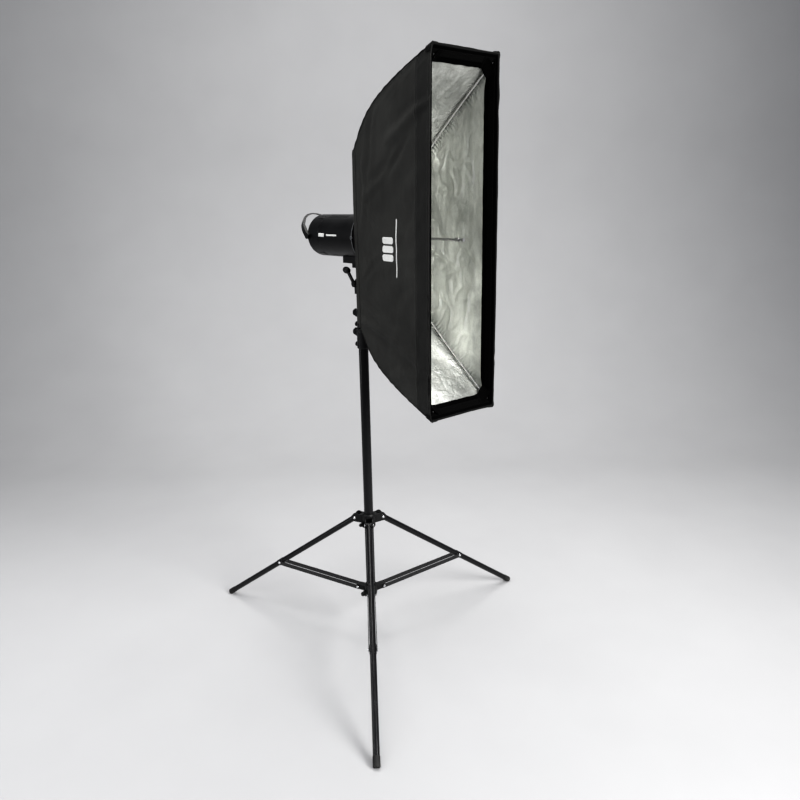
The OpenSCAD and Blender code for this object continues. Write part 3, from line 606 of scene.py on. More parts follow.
def sweep(points, radii, sides):
    verts, last = [], len(points) - 1
    e = (points[1] - points[0]).normalized().orthogonal().normalized()
    for i, (point, radius) in enumerate(zip(points, radii)):
        along = (points[min(i + 1, last)] - points[max(i - 1, 0)]).normalized()
        e = (e - along * e.dot(along)).normalized()
        f = along.cross(e)
        for j in range(sides):
            a = 2 * math.pi * j / sides
            verts.append(point + e * (radius * math.cos(a)) + f * (radius * math.sin(a)))
    return verts, tube_faces(len(points), sides)


def turned(origin, axis, profile, sides):
    """A turned piece. The profile is [(radius, height)] along the axis."""
    axis = Vector(axis).normalized()
    e = axis.orthogonal().normalized()
    f = axis.cross(e)
    verts = []
    for radius, height in profile:
        for j in range(sides):
            a = 2 * math.pi * j / sides
            verts.append(Vector(origin) + axis * height + e * (radius * math.cos(a))
                         + f * (radius * math.sin(a)))
    return verts, tube_faces(len(profile), sides)


def join(parts):
    verts, faces = [], []
    for part_verts, part_faces in parts:
        base = len(verts)
        verts += part_verts
        faces += [tuple(i + base for i in face) for face in part_faces]
    return verts, faces


STITCH_PITCH, STITCH_LENGTH, STITCH_RADIUS = 0.0034, 0.0026, 0.00038
# (place along the stitch, thickness), as shares of its length and radius
STITCH_PROFILE = [(-0.5, 0.15), (-0.38, 0.8), (0.0, 1.0), (0.38, 0.8), (0.5, 0.15)]


def stitch(point, along, normal):
    """One raised stitch on a surface."""
    along = along.normalized()
    across = normal.cross(along).normalized()
    verts = []
    for place, size in STITCH_PROFILE:
        for degrees in range(0, 360, 60):
            a = math.radians(degrees)
            verts.append(point + along * (place * STITCH_LENGTH)
                         + across * (STITCH_RADIUS * size * math.cos(a))
                         + normal * (STITCH_RADIUS * 0.75 * size * math.sin(a)))
    return verts, tube_faces(len(STITCH_PROFILE), 6)


def stitches(curve, start, end):
    """Stitches along curve(t) -> (point, normal), at an even pitch."""
    samples = 600
    points = [curve(start + (end - start) * i / samples) for i in range(samples + 1)]
    parts, travelled, due = [], 0.0, STITCH_PITCH * 0.5
    for (p, normal), (q, _) in zip(points, points[1:]):
        length = (q - p).length
        while travelled + length >= due:
            point = p.lerp(q, (due - travelled) / length) + normal * (STITCH_RADIUS * 0.2)
            parts.append(stitch(point, q - p, normal))
            due += STITCH_PITCH
        travelled += length
    return parts


# ------------------------------------------------------------------ outer cloth surfaces
# Long soft folds of a side panel, from the centre of the rear wall's plane:
# (y, z) of one end, (y, z) of the other, width, height
FOLDS = [
    (-0.350, 0.320, -0.190, 0.262, 0.014, 0.0030),
    (-0.255, 0.238, -0.120, 0.150, 0.016, -0.0028),
    (-0.300, 0.300, -0.150, 0.225, 0.020, 0.0022),
    (-0.215, 0.215, -0.075, 0.120, 0.013, 0.0026),
    (-0.110, 0.325, -0.070, 0.190, 0.012, -0.0024),
    (-0.060, 0.200, -0.050, 0.060, 0.010, 0.0020),
    (-0.020, -0.230, -0.320, -0.298, 0.015, 0.0034),
    (-0.100, -0.250, -0.330, -0.330, 0.016, -0.0030),
    (-0.190, -0.365, -0.330, -0.318, 0.018, 0.0028),
    (-0.060, -0.190, -0.220, -0.238, 0.012, 0.0022),
    (-0.300, 0.180, -0.140, 0.080, 0.022, -0.0016),
    (-0.280, -0.120, -0.120, -0.190, 0.024, -0.0018),
    (-0.330, 0.060, -0.200, 0.000, 0.026, 0.0014),
    (-0.300, -0.030, -0.090, -0.070, 0.022, 0.0012),
    (-0.050, 0.090, -0.160, 0.020, 0.012, 0.0014),
    (-0.050, -0.100, -0.170, -0.040, 0.012, -0.0014),
]


def fold_relief(y, z, flipped):
    """Height of the folds. The flipped set is upside down and inverted."""
    relief = 0.0
    for y0, z0, y1, z1, width, height in FOLDS:
        if flipped:
            z0, z1, height = -z0 * 0.96, -z1 * 1.03, -height
        dy, dz = y1 - y0, z1 - z0
        length = math.hypot(dy, dz)
        t = ((y - y0) * dy + (z - z0) * dz) / (length * length)
        if t < -0.35 or t > 1.35:
            continue
        across = ((y - y0) * dz - (z - z0) * dy) / length + 0.006 * math.sin(t * 5.0 + z0 * 40)
        spread = width * (0.75 + 0.5 * t)
        if abs(across) > 4 * spread:
            continue
        fade = smooth01((t + 0.35) / 0.5) * smooth01((1.35 - t) / 0.5)
        x = across / spread
        relief += height * fade * (bell(x, 0, 1) - 0.45 * bell(x, 1.4, 1) - 0.35 * bell(x, -1.5, 1))
    return relief


def front_relief(distance):
    """The band's seam, a gutter with a raised fold behind it, and the rolled front hem."""
    return (-0.0010 * bell(distance, BAND_SEAM, 0.0016) + 0.0009 * bell(distance, 0.0605, 0.0022)
            + 0.0012 * bell(distance, 0.004, 0.004))


def tuck(distance):
    """How far the cloth lies inside its nominal surface. It turns over at the corner seams."""
    return 0.0014 + 0.0028 * max(0.0, 1 - distance / 0.007) ** 2


def side_point(u, v, side):
    """Outer face of a side panel. u runs from rear to front, v from -1 (bottom) to 1 (top)."""
    half = half_height(u)
    y, z = -DEPTH * u, v * half
    to_seam, to_front, to_rear = (1 - abs(v)) * half, (1 - u) * DEPTH, u * DEPTH
    relief = fold_relief(y, z, side > 0)
    relief += (0.0016 * fbm(y * 7 + 3 * side, z * 4.5, 1.7 * side)
               * (0.5 + 0.5 * min(1.0, to_front / 0.03)))
    relief += 0.0006 * fbm(y * 26, z * 17, 5.1 * side)
    # puckers running in from the curved seams
    run = z + y * 0.6
    relief += (0.0011 * math.exp(-to_seam / 0.016) * min(1, to_seam / 0.003)
               * math.sin(run * 330 + 2.2 * math.sin(run * 41 + side)))
    relief *= 0.25 + 0.75 * min(1.0, to_seam / 0.05)
    relief *= 0.35 + 0.65 * min(1.0, to_rear / 0.03)
    relief += front_relief(to_front)
    # rear hem
    relief += 0.0010 * smooth01((0.017 - to_rear) / 0.002) - 0.0009 * bell(to_rear, 0.0175, 0.0012)
    bow = 0.0030 * (1 - v * v) * (0.4 + 0.6 * u)
    x = half_width(u) + bow + relief - tuck(to_seam)
    # the rear edge is scalloped
    scallop = 0.0022 * (1 - u) ** 6 * (1 - abs(v)) * math.sin(3.0 * v)
    return at(side * x, y + scallop, z)


def cap_path():
    """Centre line of the top sheet from the rear opening, up the wall and out to the front."""
    wall = [(0.0, lerp(OPENING_HALF_H, REAR_HALF_H, i / 14 * 0.985), REAR_HALF_W)
            for i in range(14)]
    us = [(i / 90) ** 1.6 for i in range(91)]
    return with_normals(wall + [(-DEPTH * u, half_height(u), half_width(u)) for u in us])


CAP_PATH = cap_path()
CAP_LENGTH = CAP_PATH[-1][5]
WALL_LENGTH = next(row[5] for row in CAP_PATH if row[0] < -1e-6)


def cap_stations(step):
    """The top sheet's centre line at an even step: (y, z, half width, ny, nz, arc)."""
    count = int(CAP_LENGTH / step)
    stations, k = [], 0
    for i in range(count + 1):
        arc = CAP_LENGTH * i / count
        while k < len(CAP_PATH) - 2 and CAP_PATH[k + 1][5] < arc:
            k += 1
        a, b = CAP_PATH[k], CAP_PATH[k + 1]
        t = (arc - a[5]) / max(b[5] - a[5], 1e-9)
        y, z, width, ny, nz, arc = (p * (1 - t) + q * t for p, q in zip(a, b))
        length = math.hypot(ny, nz)
        stations.append((y, z, width, ny / length, nz / length, arc))
    return stations


CAP = cap_stations(0.0042)


def cap_point(station, t, up):
    """Outer face of the top or bottom sheet. t runs across the box from -1 to 1."""
    y, z, width, ny, nz, arc = station
    x, to_seam, to_front = t * width, (1 - abs(t)) * width, CAP_LENGTH - arc
    ease = min(1.0, to_seam / 0.03)
    relief = -0.0035 * (1 - t * t) * min(1, arc / 0.1) * min(1, to_front / 0.08)
    relief += 0.0020 * fbm(x * 5, arc * 11, 8.3 * up) * ease
    relief += 0.0009 * fbm(x * 18, arc * 30, 3.3 * up) * ease
    relief += (0.0013 * math.exp(-to_seam / 0.014) * min(1, to_seam / 0.003)
               * math.sin(arc * 300 + 2.4 * math.sin(arc * 37 + up * t)))
    # crossways drag lines around the bend
    relief += (0.0018 * bell(arc, WALL_LENGTH + 0.035, 0.06) * ease
               * math.sin(arc * 150 + 5 * fbm(x * 9, arc * 3, 1.0 * up)))
    relief += front_relief(to_front)
    relief += 0.0008 * smooth01((0.014 - arc) / 0.002) - 0.0008 * bell(arc, 0.0145, 0.0012)
    relief -= tuck(to_seam)
    return at(x, y + ny * relief, up * (z + nz * relief))


# ------------------------------------------------------------------ outer cloth
def side_panel(side, name):
    count = 92
    us = [(i / (count - 1)) ** 1.25 for i in range(count)]
    # extra stations at the front seam and the hems
    us += [1 - s / DEPTH for s in (0.001, 0.004, 0.008, 0.0545, 0.0557, BAND_SEAM, 0.0583,
                                   0.0605, 0.063)]
    us += [r / DEPTH for r in (0.0145, 0.0155, 0.0165, 0.0175, 0.0185, 0.02)]
    us = sorted(set(us))
    vs = crowded(190, 0.35)
    verts = [side_point(u, v, side) for u in us for v in vs]
    uvs = [(u * DEPTH, v * half_height(u)) for u in us for v in vs]
    dark = []
    for u, after in zip(us, us[1:]):
        dark += [int((1 - (u + after) / 2) * DEPTH < BAND_SEAM)] * (len(vs) - 1)
    build("panel_side_" + name, (verts, grid_faces(len(us), len(vs), flip=side > 0)), "nylon",
          uvs=uvs, dark_faces=dark, thickness=0.0009, replaces="side_panel_" + name)

    normal = Vector((side, 0, 0))

    def row(from_front):
        u = 1 - from_front / DEPTH
        return lambda v: (side_point(u, v, side) + normal * STITCH_LIFT, normal)

    def beside_seam(up):
        def curve(u):
            v = up * (1 - EDGE_STITCH / half_height(u))
            return side_point(u, v, side) + normal * STITCH_LIFT, normal
        return curve

    parts = []
    for from_front in STITCH_ROWS:
        parts += stitches(row(from_front), -0.985, 0.985)
    parts += stitches(row(DEPTH - 0.0150), -0.97, 0.97)
    for up in (-1, 1):
        parts += stitches(beside_seam(up), 0.002, 0.995)
    build("stitching_side_" + name, join(parts), "thread")


def cap_panel(up, name):
    ts = crowded(56, 0.4)
    verts = [cap_point(station, t, up) for station in CAP for t in ts]
    uvs = [(t * station[2], station[5]) for station in CAP for t in ts]
    dark = []
    for a, b in zip(CAP, CAP[1:]):
        dark += [int(CAP_LENGTH - (a[5] + b[5]) / 2 < BAND_SEAM)] * (len(ts) - 1)
    build("panel_" + name, (verts, grid_faces(len(CAP), len(ts), flip=up < 0)), "nylon",
          uvs=uvs, dark_faces=dark, thickness=0.0009, replaces=name + "_panel")

    def sewn(station, t):
        normal = Vector((0, station[3], up * station[4])).normalized()
        return cap_point(station, t, up) + normal * STITCH_LIFT, normal

    def row(arc):
        station = min(CAP, key=lambda c: abs(c[5] - arc))
        return lambda t: sewn(station, t)

    def beside_seam(side):
        last = len(CAP) - 1
        # truncating the scaled share can repeat a station
        stations = [CAP[int(i / last * last)] for i in range(last + 1)]
        points = [sewn(c, side * (1 - EDGE_STITCH / c[2])) for c in stations]

        def curve(t):
            i = min(int(t * last), last - 1)
            return points[i][0].lerp(points[i + 1][0], t * last - i), points[i][1]
        return curve

    parts = []
    for arc in [CAP_LENGTH - s for s in STITCH_ROWS] + [0.012]:
        parts += stitches(row(arc), -0.97, 0.97)
    for side in (-1, 1):
        parts += stitches(beside_seam(side), 0.002, 0.998)
    build("stitching_" + name, join(parts), "thread")


def seam_binding():
    """Folded tape along the four curved corner seams, from the rear opening to the front."""
    for up, side, corner in CORNERS:
        points, radii = [], []
        for y, z, width, ny, nz, s in CAP:
            off = -0.0026 + 0.0005 * math.sin(s * 190 + side) + 0.0004 * fbm(s * 30, side, up)
            points.append(at(side * (width - 0.0022 + 0.0003 * math.sin(s * 120)),
                             y + ny * off, up * (z + nz * off)))
            radii.append(0.0021 * (0.92 + 0.10 * math.sin(s * 260 + side * 2 + up)))
        build("seam_" + corner, sweep(points, radii, 10), "nylon_edge")


def front_hem():
    """Rolled front hem: one soft tube of cloth around the opening."""
    half_w, half_h, corner_r = FRONT_HALF_W - 0.0030, FRONT_HALF_H - 0.0030, 0.006
    cx, cz = half_w - corner_r, half_h - corner_r
    centres = [(cx, cz), (-cx, cz), (-cx, -cz), (cx, -cz)]
    outline = []
    for k, (x, z) in enumerate(centres):
        for j in range(7):
            a = math.radians(90 * k + 15 * j)
            c, s = corner_r * math.cos(a), corner_r * math.sin(a)
            outline.append((x + c, z + s))
        start, following = outline[-1], centres[(k + 1) % 4]
        end = (following[0] + c, following[1] + s)
        count = 150 if k % 2 else 26
        for j in range(1, count):
            t = j / count
            outline.append(tuple(a * (1 - t) + b * t for a, b in zip(start, end)))
    verts, sides = [], 10
    for i, (x, z) in enumerate(outline):
        before, after = outline[i - 1], outline[(i + 1) % len(outline)]
        along = Vector((after[0] - before[0], 0, after[1] - before[1])).normalized()
        outward = Vector((along.z, 0, -along.x))
        bow = 0.0
        if abs(x) > half_w - 0.004:
            bow = 0.0030 * (1 - min(1, abs(z) / half_h) ** 2)
        if abs(z) > half_h - 0.004:
            bow = -0.0015 * (1 - (x / half_w) ** 2)
        shift = bow + 0.0006 * fbm(x * 9, z * 9, 2.0) - 0.0006
        radius = 0.0026 * (1 + 0.10 * math.sin(i * 0.9))
        for j in range(sides):
            a = 2 * math.pi * j / sides
            verts.append(at(x, -DEPTH + 0.0030, z)
                         + outward * (radius * 0.9 * math.cos(a) + shift)
                         + Vector((0, radius * 1.25 * math.sin(a), 0)))
    build("front_hem", (verts, tube_faces(len(outline), sides, closed=True)), "nylon_edge")


# ------------------------------------------------------------------ silver lining
def gathers(s, distance, seed, height):
    """Short puckers that run off a sewn corner."""
    if distance > 0.05:
        return 0.0
    reach = 0.012 + 0.012 * (0.5 + 0.5 * math.sin(s * 71 + seed))
    reach += 0.006 * math.sin(s * 201 + seed * 2)
    phase = s * 690 + 1.6 * math.sin(s * 83 + seed) + 0.8 * math.sin(s * 33 - seed)
    return (height * bell(distance, 0, max(reach, 0.005)) * math.sin(phase)
            * min(1.0, distance / 0.002))


def crease(x, y, seed, width):
    """Thin curved ridge lines, as in cloth that was folded and packed."""
    return bell(fbm(x, y, seed, 3), 0, width)


LINER_GAP = 0.0004


def slack(q):
    """How freely the liner moves: it lies flat under the front band."""
    return smooth01(((1 - q) * DEPTH - BAND_DEPTH + 0.004) / 0.03)


def limited(relief):
    return 0.0045 * math.tanh(relief / 0.0045)


def lining_rows(count):
    return [row for row in liner_rows(count) if row[0] < 1 - 0.010 / DEPTH]


def lining_side(side, name):
    verts, uvs = [], []
    rows, vs = lining_rows(300), crowded(130, 0.5)
    for q, y, half, width, ny, nz, s in rows:
        free = slack(q)
        for v in vs:
            z = v * (half - LINER_GAP)
            drop = (1 - abs(v)) * half
            distance = drop * ny if abs(ny) > abs(nz) else drop * 0.7
            ease = min(1, distance / 0.05)
            relief = ease * (
                0.0030 * fbm(y * 5, z * 2.6 + 4 * side, 11.0)
                + 0.0024 * fbm(y * 15, z * 8, 3.0 * side)
                + 0.0014 * math.sin(-y * 150 + 1.8 * fbm(y * 3, z * 2.4, 5.0))
                * max(0.0, fbm(y * 3.1, z * 2.0, 9.0))
                + 0.0030 * crease(y * 7.5, z * 5.0, 31.0 + side, 0.06)
                - 0.0024 * crease(y * 6.0 + 3, z * 7.5, 57.0 + side, 0.05))
            relief += 0.0004 * fbm(y * 60, z * 34, 7.0 * side)
            seed = 3.0 + side + (1.3 if v > 0 else 0)
            relief = limited(relief) * free + (
                gathers(s - 0.72 * drop, distance, seed, 0.0022) * (0.25 + 0.75 * free))
            verts.append(at(side * (width - LINER_GAP - relief), y, z))
            uvs.append((s, z))
    build("lining_" + name, (verts, grid_faces(len(rows), len(vs), flip=side < 0)), "silver",
          uvs=uvs, thickness=0.0004, offset=1.0, replaces="lining")


def lining_cap(up, name):
    verts, uvs = [], []
    rows, ts = lining_rows(270), crowded(70, 0.4)
    for q, y, z, width, ny, nz, s in rows:
        free = slack(q)
        for t in ts:
            x = t * (width - LINER_GAP)
            to_seam = (1 - abs(t)) * width
            ease = min(1, to_seam / 0.03)
            relief = ease * (
                0.0030 * fbm(x * 7, s * 5, 21.0 * up)
                + 0.0020 * fbm(x * 19, s * 11, 9.0 * up)
                + 0.0022 * crease(x * 9, s * 5.0, 41.0 + up, 0.07))
            relief += 0.0006 * fbm(x * 55, s * 50, 2.0 * up)
            seed = 7.0 + up + (2.1 if t > 0 else 0)
            relief = limited(relief) * free + (
                gathers(s, to_seam, seed, 0.0008) * (0.25 + 0.75 * free))
            verts.append(at(x, y - ny * relief, up * (z - LINER_GAP - nz * relief)))
            uvs.append((x, s))
    # the darker copy of the silver: painted shade on the top and bottom linings
    build("lining_" + name, (verts, grid_faces(len(rows), len(ts), flip=up > 0)),
          "silver_crumpled_shaded", uvs=uvs, thickness=0.0004, offset=1.0,
          replaces="lining")


def lining_shadow_seams():
    """Black tape that binds the lining's corner seams. It is also painted shadow: its dark line
    stands for the shade along each corner above the rib.
    """
    for up, side, corner in CORNERS:
        points, radii = [], []
        for q, y, z, width, ny, nz, s in liner_rows(150):
            if q > 1 - 0.03 / DEPTH:
                continue
            off = 0.0019 + 0.0005 * math.sin(s * 150 + side) + 0.0004 * fbm(s * 25, side, up)
            points.append(at(side * (width - 0.0020 + 0.0004 * math.sin(s * 97)),
                             y - ny * off, up * (z - nz * off)))
            radii.append(0.0024 * (0.9 + 0.25 * math.sin(s * 330 + side + 2 * math.sin(s * 61))))
        # dark tape: the seam binding and a painted shadow line in one
        build("lining_shadow_tape_" + corner, sweep(points, radii, 8), "nylon_edge")


# ------------------------------------------------------------------ inside the front edge
def inner_strip(name, material, stations, thickness, inset):
    """A strip round the inside of the front edge. Stations run back from the edge."""
    outline = []
    for edge in range(4):  # top, left, bottom, right
        count = 170 if edge % 2 else 44
        outline += [(edge, -1 + 2 * j / count) for j in range(count)]
    verts, uvs = [], []
    for s in stations:
        back = smooth01((s - 0.02) / 0.02)
        for edge, q in outline:
            upright = edge % 2
            pull = smooth01((abs(q) - 0.90) / 0.10) if upright else 1
            y, half_h, half_w = liner(1 - s * (0.86 - 0.18 * pull) / LINER_RUN)
            half_w, half_h = half_w - 0.0019 - inset, half_h - 0.0019 - inset
            sign = 1 if edge in (0, 3) else -1
            if upright:
                x, z, nx, nz = sign * half_w, sign * q * half_h, sign, 0
            else:
                x, z, nx, nz = -sign * q * half_w, sign * half_h, 0, sign
            relief = (0.0008 * fbm(x * 13, z * 13, s * 30) * (0.4 + 0.6 * back)
                      + 0.0005 * back * math.sin((x + z) * 95 + 3 * math.sin((x - z) * 17)))
            relief = -abs(relief) * (0.4 if inset else 1.0)
            sway = 0.0010 * fbm(x * 7 + 3, z * 7, 1.0) * back
            verts.append(at(x + nx * relief, y + sway, z + nz * relief))
            uvs.append((s, z if upright else x))
    build(name, (verts, grid_faces(len(stations), len(outline), wrap=True)), material,
          uvs=uvs, thickness=thickness, offset=1.0, replaces="front_lip")


def front_band():
    """Black band sewn inside the front edge, with a strip of loop tape on it."""
    inner_strip("front_band", "lip", [0.0005, 0.002, 0.006, 0.011, 0.016, 0.021, 0.026, 0.031,
                                      0.036, 0.040, 0.043, BAND_DEPTH], 0.0007, inset=0.0)
    inner_strip("loop_tape", "loop", [0.008, 0.011, 0.016, 0.022, 0.026, 0.029], 0.0010,
                inset=0.0012)


def spline(points, steps):
    """A Catmull-Rom curve through 2D points."""
    curve = []
    points = [points[0], *points, points[-1]]
    for quad in zip(points, points[1:], points[2:], points[3:]):
        for k in range(steps):
            t = k / steps
            curve.append(tuple(
                0.5 * (2 * b + (c - a) * t + (2 * a - 5 * b + 4 * c - d) * t * t
                       + (3 * b - a - 3 * c + d) * t ** 3) for a, b, c, d in zip(*quad)))
    curve.append(points[-1])
    return curve


def rib_and_tip(up, side, corner, rear_z):
    points = []
    for i in range(61):
        x, y, z = rib_point(i / 60, rear_z)
        points.append(at(side * x, y, up * z))
    build("rib_" + corner, sweep(points, [RIB_RADIUS] * 61, 14), "rib",
          replaces="ribs")
    end = points[-1]
    along = (end - points[-2]).normalized()
    # (place along the rib from its end, radius)
    profile = [(-0.013, 0.0024), (-0.0125, 0.0030), (-0.001, 0.0030), (0.001, 0.0026),
               (0.002, 0.0012)]
    tip = sweep([end + along * place for place, _ in profile], [r for _, r in profile], 14)
    build("rib_tip_" + corner, tip, "knob")


def pocket(up, side, corner, rear_z):
    """Webbing across the front corner, looped round the rib's end."""
    rows, length = 11, 0.026
    verts, uvs = [], []
    for i in range(rows):
        t = i / (rows - 1)
        y, half_h, half_w = liner(1 - (0.005 + length * t) / LINER_RUN)
        w, h = half_w - 0.0031, half_h - 0.0031
        rib_x, _, rib_z = rib_point(min(1.0, (RIB_Y - y) / RIB_RUN), rear_z)
        k = 1 - 0.25 * t
        path = spline([(w, h - 0.040 * k), (w, h - 0.030 * k), (rib_x - 0.0010, rib_z - 0.0060),
                       (rib_x - 0.0055, rib_z - 0.0005), (w - 0.026 * k, h),
                       (w - 0.036 * k, h)], 5)
        for j, (x, z) in enumerate(path):
            verts.append(at(side * x, y, up * z))
            uvs.append((j * 0.003, t * length))
    build("pocket_" + corner, (verts, grid_faces(rows, len(path), flip=side * up < 0)),
          "webbing", uvs=uvs, thickness=0.0009, offset=0.0,
          replaces="corner_pockets")


def ribs_and_pockets():
    for up, side, corner in CORNERS:
        rear_z = RIB_Z + up * LIGHT_RISE
        rib_and_tip(up, side, corner, rear_z)
        pocket(up, side, corner, rear_z)


def corner_caps():
    """Reinforced outer front corners: doubled cloth that stands a little proud."""
    rows, columns, radius = 12, 25, 0.004
    for up, side, corner in CORNERS:
        verts, uvs = [], []
        for i in range(rows):
            s = 0.0005 + 0.022 * i / (rows - 1)
            half_w, half_h = half_width(1 - s / DEPTH), half_height(1 - s / DEPTH)
            leg = 0.017 * (1 - 0.5 * i / (rows - 1))
            for j in range(columns):
                q = j / (columns - 1) * 2 - 1
                proud = (0.0003 + (0.0021 if side > 0 else 0.0006) * bell(q * 1.6, 0, 1)
                         + 0.0002 * math.sin(i * 1.3 + j))
                beyond = abs(q) * (leg + radius) - radius  # past the rounded corner
                if beyond <= 0:
                    a = math.radians(45) * (1 + q * (leg + radius) / radius)
                    x = half_w - radius + (radius + proud) * math.cos(a)
                    z = half_h - radius + (radius + proud) * math.sin(a)
                elif q < 0:
                    x, z = half_w + proud, half_h - radius - beyond
                else:
                    x, z = half_w - radius - beyond, half_h + proud
                verts.append(at(side * x, -DEPTH + s + 0.0012 * math.exp(-i * 0.8), up * z))
                uvs.append((q * 0.03, s))
        build("corner_" + corner, (verts, grid_faces(rows, columns, flip=side * up > 0)),
              "nylon_edge", uvs=uvs, thickness=0.0008)


# ------------------------------------------------------------------ rear of the softbox
def cuff_grid(columns, rows, half_w, half_h, radius, depth, wave, height, fade, spread, uv_depth,
              flip=False):
    """A gathered cuff from a rectangle to a circle on the strobe's axis.

    depth maps the share of the way to y. wave is (rate, swing, swing's rate) of the gathers by
    column, height their height, fade their fading towards the circle, spread their outward part.
    """
    rate, swing, swing_rate = wave
    verts, uvs = [], []
    for i in range(rows):
        t = i / (rows - 1)
        blend = smooth01(t)
        for j in range(columns):
            a = 2 * math.pi * j / columns
            c, s = math.cos(a), math.sin(a)
            box = 1 / max(abs(c) / half_w, abs(s) / half_h)
            gather = (math.sin(j * rate + swing * math.sin(j * swing_rate)) * height
                      * math.sin(math.pi * min(1, t * fade)) ** 0.7)
            reach = box * (1 - blend) + radius * blend + gather * spread
            verts.append(at(c * reach, depth(t) + gather, s * reach + LIGHT_RISE * blend))
            uvs.append((a * radius, t * uv_depth))
    return (verts, grid_faces(rows, columns, wrap=True, flip=flip)), uvs


def rear_skirt():
    """Gathered skirt from the rear opening to the rim of the speed ring."""
    mesh, uvs = cuff_grid(
        columns=220, rows=18, half_w=REAR_HALF_W - 0.0035, half_h=OPENING_HALF_H + 0.004,
        radius=SKIRT_RADIUS, depth=lambda t: -0.0040 + 0.0105 * t ** 1.3,
        wave=(0.62, 1.2, 0.13), height=0.0009, fade=1.1, spread=0.6, uv_depth=0.02, flip=True)
    build("rear_skirt", mesh, "nylon_edge", uvs=uvs, thickness=0.0006, offset=1.0)


def skirt_cord():
    """Elastic cord in the skirt's edge."""
    rings, sides = 96, 8
    ring_radius = SKIRT_RADIUS + 0.001
    verts = []
    for i in range(rings):
        a = 2 * math.pi * i / rings
        outward = Vector((math.cos(a), 0, math.sin(a)))
        radius = 0.0016 * (1 + 0.16 * math.sin(i * 1.7))
        for j in range(sides):
            b = 2 * math.pi * j / sides
            verts.append(at(0, 0.0070, LIGHT_RISE)
                         + outward * (ring_radius + radius * math.cos(b))
                         + Vector((0, radius * math.sin(b), 0)))
    # the last ring of the grid is the first one again
    faces = [tuple(v % (rings * sides) for v in face)
             for face in grid_faces(rings + 1, sides, wrap=True)]
    build("skirt_cord", (verts, faces), "nylon_edge")


def lining_collar():
    """Gathered silver cuff that closes the liner's rear end onto the rim of the speed ring."""
    mesh, uvs = cuff_grid(
        columns=240, rows=16, half_w=LINER_HALF_W - 0.0012, half_h=LINER_HALF_H - 0.0012,
        radius=COLLAR_RADIUS, depth=lambda t: -0.0185 + 0.0200 * t,
        wave=(0.52, 1.4, 0.11), height=0.0008, fade=1.0, spread=1.0, uv_depth=0.03)
    build("lining_collar", mesh, "silver", uvs=uvs, thickness=0.0004,
          offset=0.0, replaces="lining")


def panel_marks():
    """Three printed blocks and a thin rule on the left panel."""
    parts, uvs = [], []

    def block(front_y, rear_y, z0, z1, radius, rows=10, columns=26):
        """A rectangle with rounded corners."""
        verts = []
        for i in range(rows + 1):
            y = rear_y + (front_y - rear_y) * i / rows
            into = max(0.0, radius - min(y - front_y, rear_y - y))
            pull = radius - math.sqrt(max(0.0, radius * radius - into * into))
            for k in range(columns + 1):
                z = (z0 + pull) + (z1 - z0 - 2 * pull) * k / columns
                u = -y / DEPTH
                verts.append(side_point(u, z / half_height(u), -1) + Vector((-0.00035, 0, 0)))
                uvs.append((y, z))
        across = columns + 1
        starts = [i * across + k for i in range(rows) for k in range(columns)]
        parts.append((verts, [(a, a + 1, a + across + 1, a + across) for a in starts]))

    for i in range(3):
        z = -0.050 + 0.0225 * i
        block(front_y=-0.204, rear_y=-0.149, z0=z, z1=z + 0.018, radius=0.004)
    block(front_y=-0.2215, rear_y=-0.2165, z0=-0.090, z1=0.060, radius=0.0022, rows=4, columns=60)
    build("panel_mark", join(parts), "print", uvs=uvs, thickness=0.00025, offset=0.0)


side_panel(-1, "left")
side_panel(1, "right")
cap_panel(1, "top")
cap_panel(-1, "bottom")
seam_binding()
front_hem()
lining_side(-1, "left")
lining_side(1, "right")
lining_cap(1, "top")
lining_cap(-1, "bottom")
lining_shadow_seams()
front_band()
ribs_and_pockets()
corner_caps()
rear_skirt()
skirt_cord()
lining_collar()
panel_marks()

# ------------------------------------------------------------------ hard parts
FINISHES = {
    "tube": "base_tube middle_tube top_tube leg_right leg_left leg_front",
    "casting": "spreader leg_hub lower_collar upper_collar stand_socket tilt_block",
    "steel": "spreader_rivets hub_rivets spigot tilt_bolt",
    "knob": "hub_knob lower_knob upper_knob socket_knob tilt_lever base_bolts hub_bolt "
            "upper_collar_bolt",
    "foot": "foot_right foot_left foot_front",
    "bush": "middle_bush top_bush",
    "shell": "strobe_shell",
    "trim": "rear_bezel handle",
    "panel": "control_panel dial power_switch mains_inlet cooling_fan",
    "window": "display",
    "red": "flash_button",
    "white": "lamp_button",
    "alloy": "front_mount_ring speed_ring ring_adapter",
    "ceramic": "lamp_plate",
    "quartz": "flash_tube modelling_lamp",
    "rod": "accessory_rod",
    "can": "capacitor",
    "board": "circuit_board",
}
FIRST_BRACE_ANGLE = -6.45  # degrees from +X


def set_material(piece, material):
    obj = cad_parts[piece]
    if not obj.material_slots:
        obj.data.materials.append(material)
    for slot in obj.material_slots:
        slot.material = material


def finish_hard_parts():
    finished = set()
    for finish, pieces in FINISHES.items():
        for piece in pieces.split():
            set_material(piece, MATERIALS[finish])
            finished.add(piece)
    for i, name in enumerate(("right", "left", "front")):
        angle = math.radians(FIRST_BRACE_ANGLE + 120 * i)
        set_material("brace_" + name, brace_paint("brace_with_rivets_" + name, angle))
    for piece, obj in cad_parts.items():
        if piece in finished or piece.startswith("brace_"):
            obj.data.shade_smooth()
            obj.data.set_sharp_from_angle(angle=math.radians(32))


def column_plug():
    # (radius, distance down)
    profile = [(0.0134, 0), (0.0134, 0.0118), (0.0150, 0.0122), (0.0150, 0.0145),
               (0.0142, 0.0156), (0.006, 0.0160)]
    plug = turned((AXIS_X, AXIS_Y, column_low[2] + 0.012), (0, 0, -1), profile, 40)
    build("column_plug", plug, "knob", body="base")


